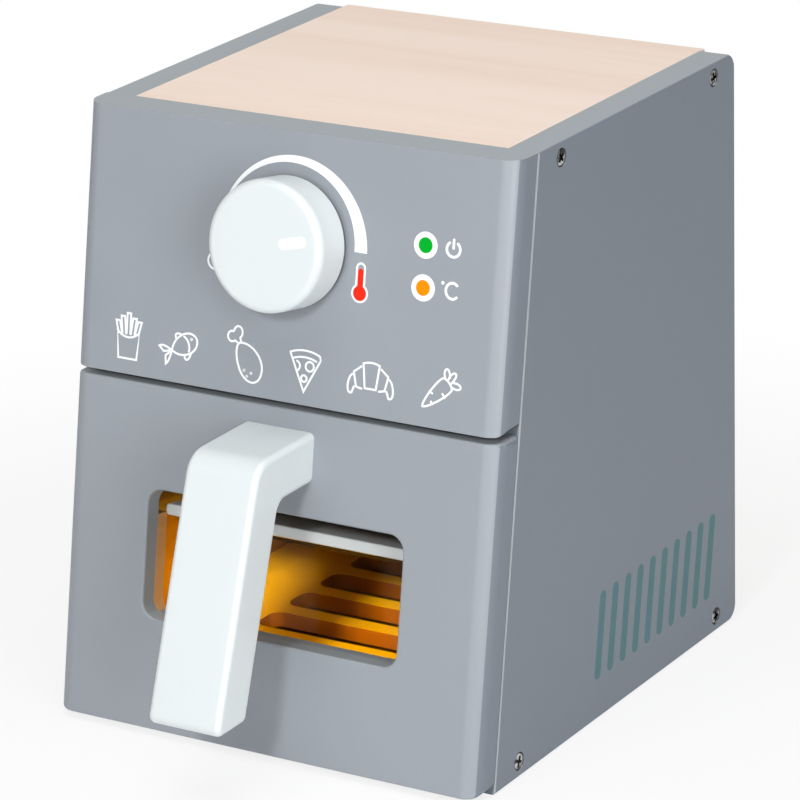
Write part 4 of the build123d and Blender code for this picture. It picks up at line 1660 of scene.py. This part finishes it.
    def food(self, sheet: PrintSheet) -> None:
        """The row of food signs.

        Args:
            sheet: The sheet that they are laid on.
        """
        signs = FoodSigns()
        row = (
            (signs.fries(), self.fries_place),
            (signs.fish(), self.fish_place),
            (signs.drumstick(), self.drumstick_place),
            (signs.pizza(), self.pizza_place),
            (signs.croissant(), self.croissant_place),
            (signs.carrot(), self.carrot_place),
        )
        for lines, (across, up) in row:
            for points, closed in lines:
                placed = [(x * MM + across, y * MM + up) for x, y in points]
                sheet.line(placed, signs.line_width * MM, closed)


@dataclass(frozen=True)
class Handle:
    """The white bent handle: a level arm and a grip that leans outward, with all edges soft."""

    front: LeaningFront
    face: float
    width: float = 25.0 * MM
    thickness: float = 15.0 * MM
    arm_reach: float = 30.2 * MM
    grip_lean: float = math.radians(20)
    outer_bend: float = 9.0 * MM
    inner_bend: float = 5.0 * MM
    edge: float = 1.9 * MM
    tip_round: float = 2.5 * MM
    edge_steps: int = 6
    bend_steps: int = 14

    def lines(self, inset: float) -> list[tuple[Vector, Vector]]:
        """The outline's sides in the side view.

        Args:
            inset: How far the sides move inwards.

        Returns:
            A point and a direction for each side.
        """
        low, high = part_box("handle")
        cos, sin = math.cos(self.grip_lean), math.sin(self.grip_lean)
        lean = self.front.lean
        root = Vector((self.front.foot_y - self.face / math.cos(lean), 0.0))
        root_top = root.x + high.z * math.tan(lean)
        corner = Vector((root_top - self.arm_reach, high.z))
        down, up_slope = Vector((-sin, -cos)), Vector((math.sin(lean), math.cos(lean)))
        inward = Vector((cos, -sin))
        return [
            (Vector((0, high.z - inset)), Vector((-1, 0))),
            (corner + inward * inset, down),
            (Vector((0, low.z + inset)), Vector((1, 0))),
            (corner + inward * (self.thickness - inset), -down),
            (Vector((0, high.z - self.thickness + inset)), Vector((1, 0))),
            (root, up_slope),
        ]

    def outline(self, inset: float) -> list[Point]:
        """The outline in the side view, moved inwards, with its corners rounded.

        Args:
            inset: How far all sides but the root move inwards.

        Returns:
            As many points for every inset.
        """
        lines = self.lines(inset)
        radii = [self.outer_bend - inset, self.tip_round - inset, self.tip_round - inset]
        radii.append(self.inner_bend + inset)
        points = []
        for index, (start, along) in enumerate(lines):
            other, then = lines[(index + 1) % len(lines)]
            span = along.cross(then)
            corner = start + along * ((other - start).cross(then) / span)
            if index >= len(radii):
                points.append((corner.x, corner.y))
                continue
            radius = radii[index]
            turn = math.atan2(span, along.dot(then))
            side = Vector((-along.y, along.x)) * math.copysign(1, turn)
            tangent = radius * math.tan(abs(turn) / 2)
            centre = corner - along * tangent + side * radius
            first = math.atan2(-side.y, -side.x)
            for step in range(self.bend_steps + 1):
                angle = first + turn * step / self.bend_steps
                points.append((centre.x + radius * math.cos(angle), centre.y + radius * math.sin(angle)))
        return points

    def build(self) -> None:
        """Builds the handle and dresses its screws."""
        bm = bmesh.new()
        flat = self.width / 2 - self.edge
        angles = [math.pi / 2 * step / self.edge_steps for step in range(self.edge_steps + 1)]
        rings = [(-flat - self.edge * math.cos(a), self.edge * (1 - math.sin(a))) for a in angles]
        rings += [(-x, inset) for x, inset in reversed(rings)]
        loops = [[bm.verts.new((x, y, z)) for y, z in self.outline(inset)] for x, inset in rings]
        for here, there in zip(loops, loops[1:]):
            for index in range(len(here)):
                after = (index + 1) % len(here)
                bm.faces.new((here[index], here[after], there[after], there[index]))
        bm.faces.new(loops[0])
        bm.faces.new(loops[-1][::-1])
        bmesh.ops.remove_doubles(bm, verts=bm.verts, dist=FINE_MERGE)
        bmesh.ops.recalc_face_normals(bm, faces=bm.faces)
        add_piece("handle_finished", mesh_from(bm, "handle_finished"), WHITE_PAINT, Body.DRAWER, ["handle"])
        dress_nodes({"handle_screws": ZINC_STEEL})


@dataclass(frozen=True)
class Drawer:
    """The drawer: its painted front with the tinted window, and the wooden box with the rack."""

    front: LeaningFront
    edge_zone: float = 4.0 * MM
    board_edge: float = 0.7 * MM
    small_edge: float = 0.5 * MM
    upright_share: float = 0.3
    liner_end: float = 8.0 * MM
    liner_level: float = 3.0 * MM

    def build(self) -> None:
        """Builds and dresses the drawer."""
        soften_front(self.front, "drawer_front", GREY_FRONT, Body.DRAWER, self.board_edge, self.edge_zone)
        self.window()
        self.box()

    def window(self) -> None:
        """The liner, the pane and its rail."""
        low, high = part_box("window_liner")
        reach = (high.x - low.x) / 2 - self.liner_end

        def at_window(middle: Vector) -> bool:
            """Whether an edge of the liner borders the window."""
            return abs(middle.x) < reach and self.front.local(middle).z > self.liner_level

        def on_sill(face: bpy.types.MeshPolygon) -> bool:
            """Whether a face of the liner is the window's sill."""
            return abs(face.center.x) < reach and face.normal.z > END_SHARE

        liner = SoftenedNode("window_liner", LINER_WOOD, Body.DRAWER, self.small_edge).build(at_window)
        second_finish(liner, GREY_FRONT, on_sill)
        copy = SoftenedNode("pane_rail", RAIL_PLASTIC, Body.DRAWER, self.small_edge)
        rail = copy.build(lambda middle: False)
        pane = [self.front.local(vertex.co) for vertex in bpy.data.objects["window_pane"].data.vertices]
        pane_high = max(corner.y for corner in pane)
        lip_high = pane_high - MERGE_DISTANCE
        # Painted shadow on the rail's lip below the pane's top
        second_finish(rail, RAIL_LIP_SHADOW, lambda face: self.front.local(face.center).y < lip_high)
        dress_nodes({"window_pane": PANE_TINT, "pane_screws": ZINC_STEEL})

    def box(self) -> None:
        """The box boards and the rack."""
        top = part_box("drawer_side_left")[1].z
        for name in ("drawer_side_left", "drawer_side_right", "drawer_back"):
            # The back's dark hardboard is partly painted shade, for the dark seen above the rail
            finish = HARDBOARD_AND_SHADE if name == "drawer_back" else BOX_WOOD
            copy = SoftenedNode(name, finish, Body.DRAWER, self.small_edge)
            copy.build(lambda middle: middle.z > top - MERGE_DISTANCE)
        rack = SoftenedNode("rack", INNER_WOOD, Body.DRAWER, self.small_edge).build()
        # Painted shade on the rack's upright faces, darker than the lit tops
        second_finish(rack, RACK_WALL_SHADE, lambda face: abs(face.normal.z) < self.upright_share)
        finishes = {
            # Dark hardboard, its dark partly painted shade under the rack's slots
            "drawer_bottom": HARDBOARD_AND_SHADE,
            "rack_cleat_left": INNER_WOOD,
            "rack_cleat_right": INNER_WOOD,
            "drawer_bottom_screws": ZINC_STEEL,
            "drawer_front_dowels": DOWEL_WOOD,
            "drawer_back_dowels": DOWEL_WOOD,
        }
        dress_nodes(finishes)


@dataclass(frozen=True)
class Lamp:
    """A soft lamp that faces the object. One with gloss_only shows in reflections and does nothing else."""

    name: str
    azimuth: float
    elevation: float
    distance: float
    width: float
    height: float
    power: float
    gloss_only: bool = False

    def build(self, target: Vector) -> None:
        """Hangs the lamp and turns it to the target.

        Args:
            target: What it faces.
        """
        light = bpy.data.lights.new(self.name, "AREA")
        light.shape = "RECTANGLE"
        light.size = self.width
        light.size_y = self.height
        light.energy = self.power
        lamp = bpy.data.objects.new(self.name, light)
        bpy.context.scene.collection.objects.link(lamp)
        azimuth, elevation = math.radians(self.azimuth), math.radians(self.elevation)
        flat = Vector((math.sin(azimuth), -math.cos(azimuth), 0)) * math.cos(elevation)
        lamp.location = target + (flat + Vector((0, 0, math.sin(elevation)))) * self.distance
        lamp.rotation_euler = (target - lamp.location).to_track_quat("-Z", "Y").to_euler()
        if self.gloss_only:
            lamp.visible_diffuse = False
            lamp.visible_camera = False
            lamp.visible_transmission = False


@dataclass(frozen=True)
class Studio:
    """The pale floor, the soft lamps, the white surroundings and the camera."""

    front: LeaningFront
    floor_size: float = 12.0
    floor_drop: float = 0.2 * MM
    ambient: float = 0.21
    gloss: float = 0.6
    camera_spot: tuple[float, float, float] = (0.670115, -1.009163, 0.538731)
    camera_azimuth: float = 31.72
    camera_elevation: float = 19.49
    camera_roll: float = -1.679
    lens: float = 196.45
    sensor: float = 36.0
    view_end: float = 50.0
    lamps: tuple[Lamp, ...] = (
        Lamp("front_lamp", azimuth=12, elevation=28, distance=1.6, width=0.2, height=0.2, power=9.1),
        Lamp("side_lamp", azimuth=58, elevation=12, distance=1.6, width=0.8, height=1.1, power=13.5),
        Lamp("top_lamp", azimuth=10, elevation=78, distance=1.8, width=1.2, height=1.2, power=14.6),
        Lamp(
            "gloss_card",
            azimuth=21,
            elevation=0,
            distance=1.6,
            width=2.4,
            height=0.5,
            power=8.0,
            gloss_only=True,
        ),
    )

    def build(self) -> None:
        """Builds the studio."""
        self.floor()
        self.surroundings()
        self.camera()
        target = sum(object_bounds(), Vector()) / 2
        for lamp in self.lamps:
            lamp.build(target)
            LOG.info("lamp %s: %.1f W", lamp.name, lamp.power)

    def floor(self) -> None:
        """The floor, just under the object."""
        half = self.floor_size / 2
        corners = [(-half, -half), (half, -half), (half, half), (-half, half)]
        mesh = bpy.data.meshes.new("studio_floor")
        mesh.from_pydata([(x, y, -self.floor_drop) for x, y in corners], [], [(0, 1, 2, 3)])
        mesh.materials.append(STUDIO_PAPER.material())
        floor = bpy.data.objects.new("studio_floor", mesh)
        bpy.context.scene.collection.objects.link(floor)
        floor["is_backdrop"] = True

    def surroundings(self) -> None:
        """Even light from all round, white where the eye or a gloss meets it."""
        world = bpy.data.worlds.new("studio_surroundings")
        bpy.context.scene.world = world
        world.use_nodes = True
        tree = NodeTree(world.node_tree)
        world.node_tree.nodes.clear()
        camera_ray, gloss_ray = (
            tree.node("ShaderNodeLightPath", output=f"Is {kind} Ray") for kind in ("Camera", "Glossy")
        )
        seen = camera_ray.largest(gloss_ray * self.gloss)
        plain = tree.node("ShaderNodeBackground", inputs={"Color": WHITE, "Strength": self.ambient})
        white = tree.node("ShaderNodeBackground", inputs={"Color": WHITE, "Strength": 1.0})
        mixed = tree.node("ShaderNodeMixShader", inputs={0: seen, 1: plain, 2: white})
        end = world.node_tree.nodes.new("ShaderNodeOutputWorld")
        world.node_tree.links.new(mixed.socket, end.inputs["Surface"])

    def camera(self) -> None:
        """The camera, at the photograph's place and angle."""
        data = bpy.data.cameras.new("photo_camera")
        data.sensor_width = self.sensor
        data.lens = self.lens
        data.clip_end = self.view_end
        camera = bpy.data.objects.new("photo_camera", data)
        bpy.context.scene.collection.objects.link(camera)
        x, y, z = self.camera_spot
        turn = Matrix.Rotation(math.radians(self.camera_azimuth), 4, "Z")
        turn @= Matrix.Rotation(math.radians(90 - self.camera_elevation), 4, "X")
        turn @= Matrix.Rotation(math.radians(self.camera_roll), 4, "Z")
        camera.matrix_world = Matrix.Translation((x, y + self.front.foot_y, z)) @ turn
        bpy.context.scene.camera = camera
        bpy.context.scene.view_settings.view_transform = "Standard"


def main() -> None:
    """Builds the object and the studio."""
    logging.basicConfig(level=logging.INFO, format="%(name)s: %(message)s")
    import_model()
    front = LeaningFront.of_model()
    LOG.info("front foot at %.6f m, lean %.3f degrees", front.foot_y, math.degrees(front.lean))
    face = max(front.local(v.co).z for v in bpy.data.objects["control_panel"].data.vertices)
    knob = ControlKnob(front)
    dial_height = knob.extent()[0]
    Cabinet(front).build()
    ControlPrint(front, face, dial_height).build()
    knob.build()
    Drawer(front).build()
    Handle(front, face).build()
    Studio(front).build()


if __name__ == "__main__":
    main()
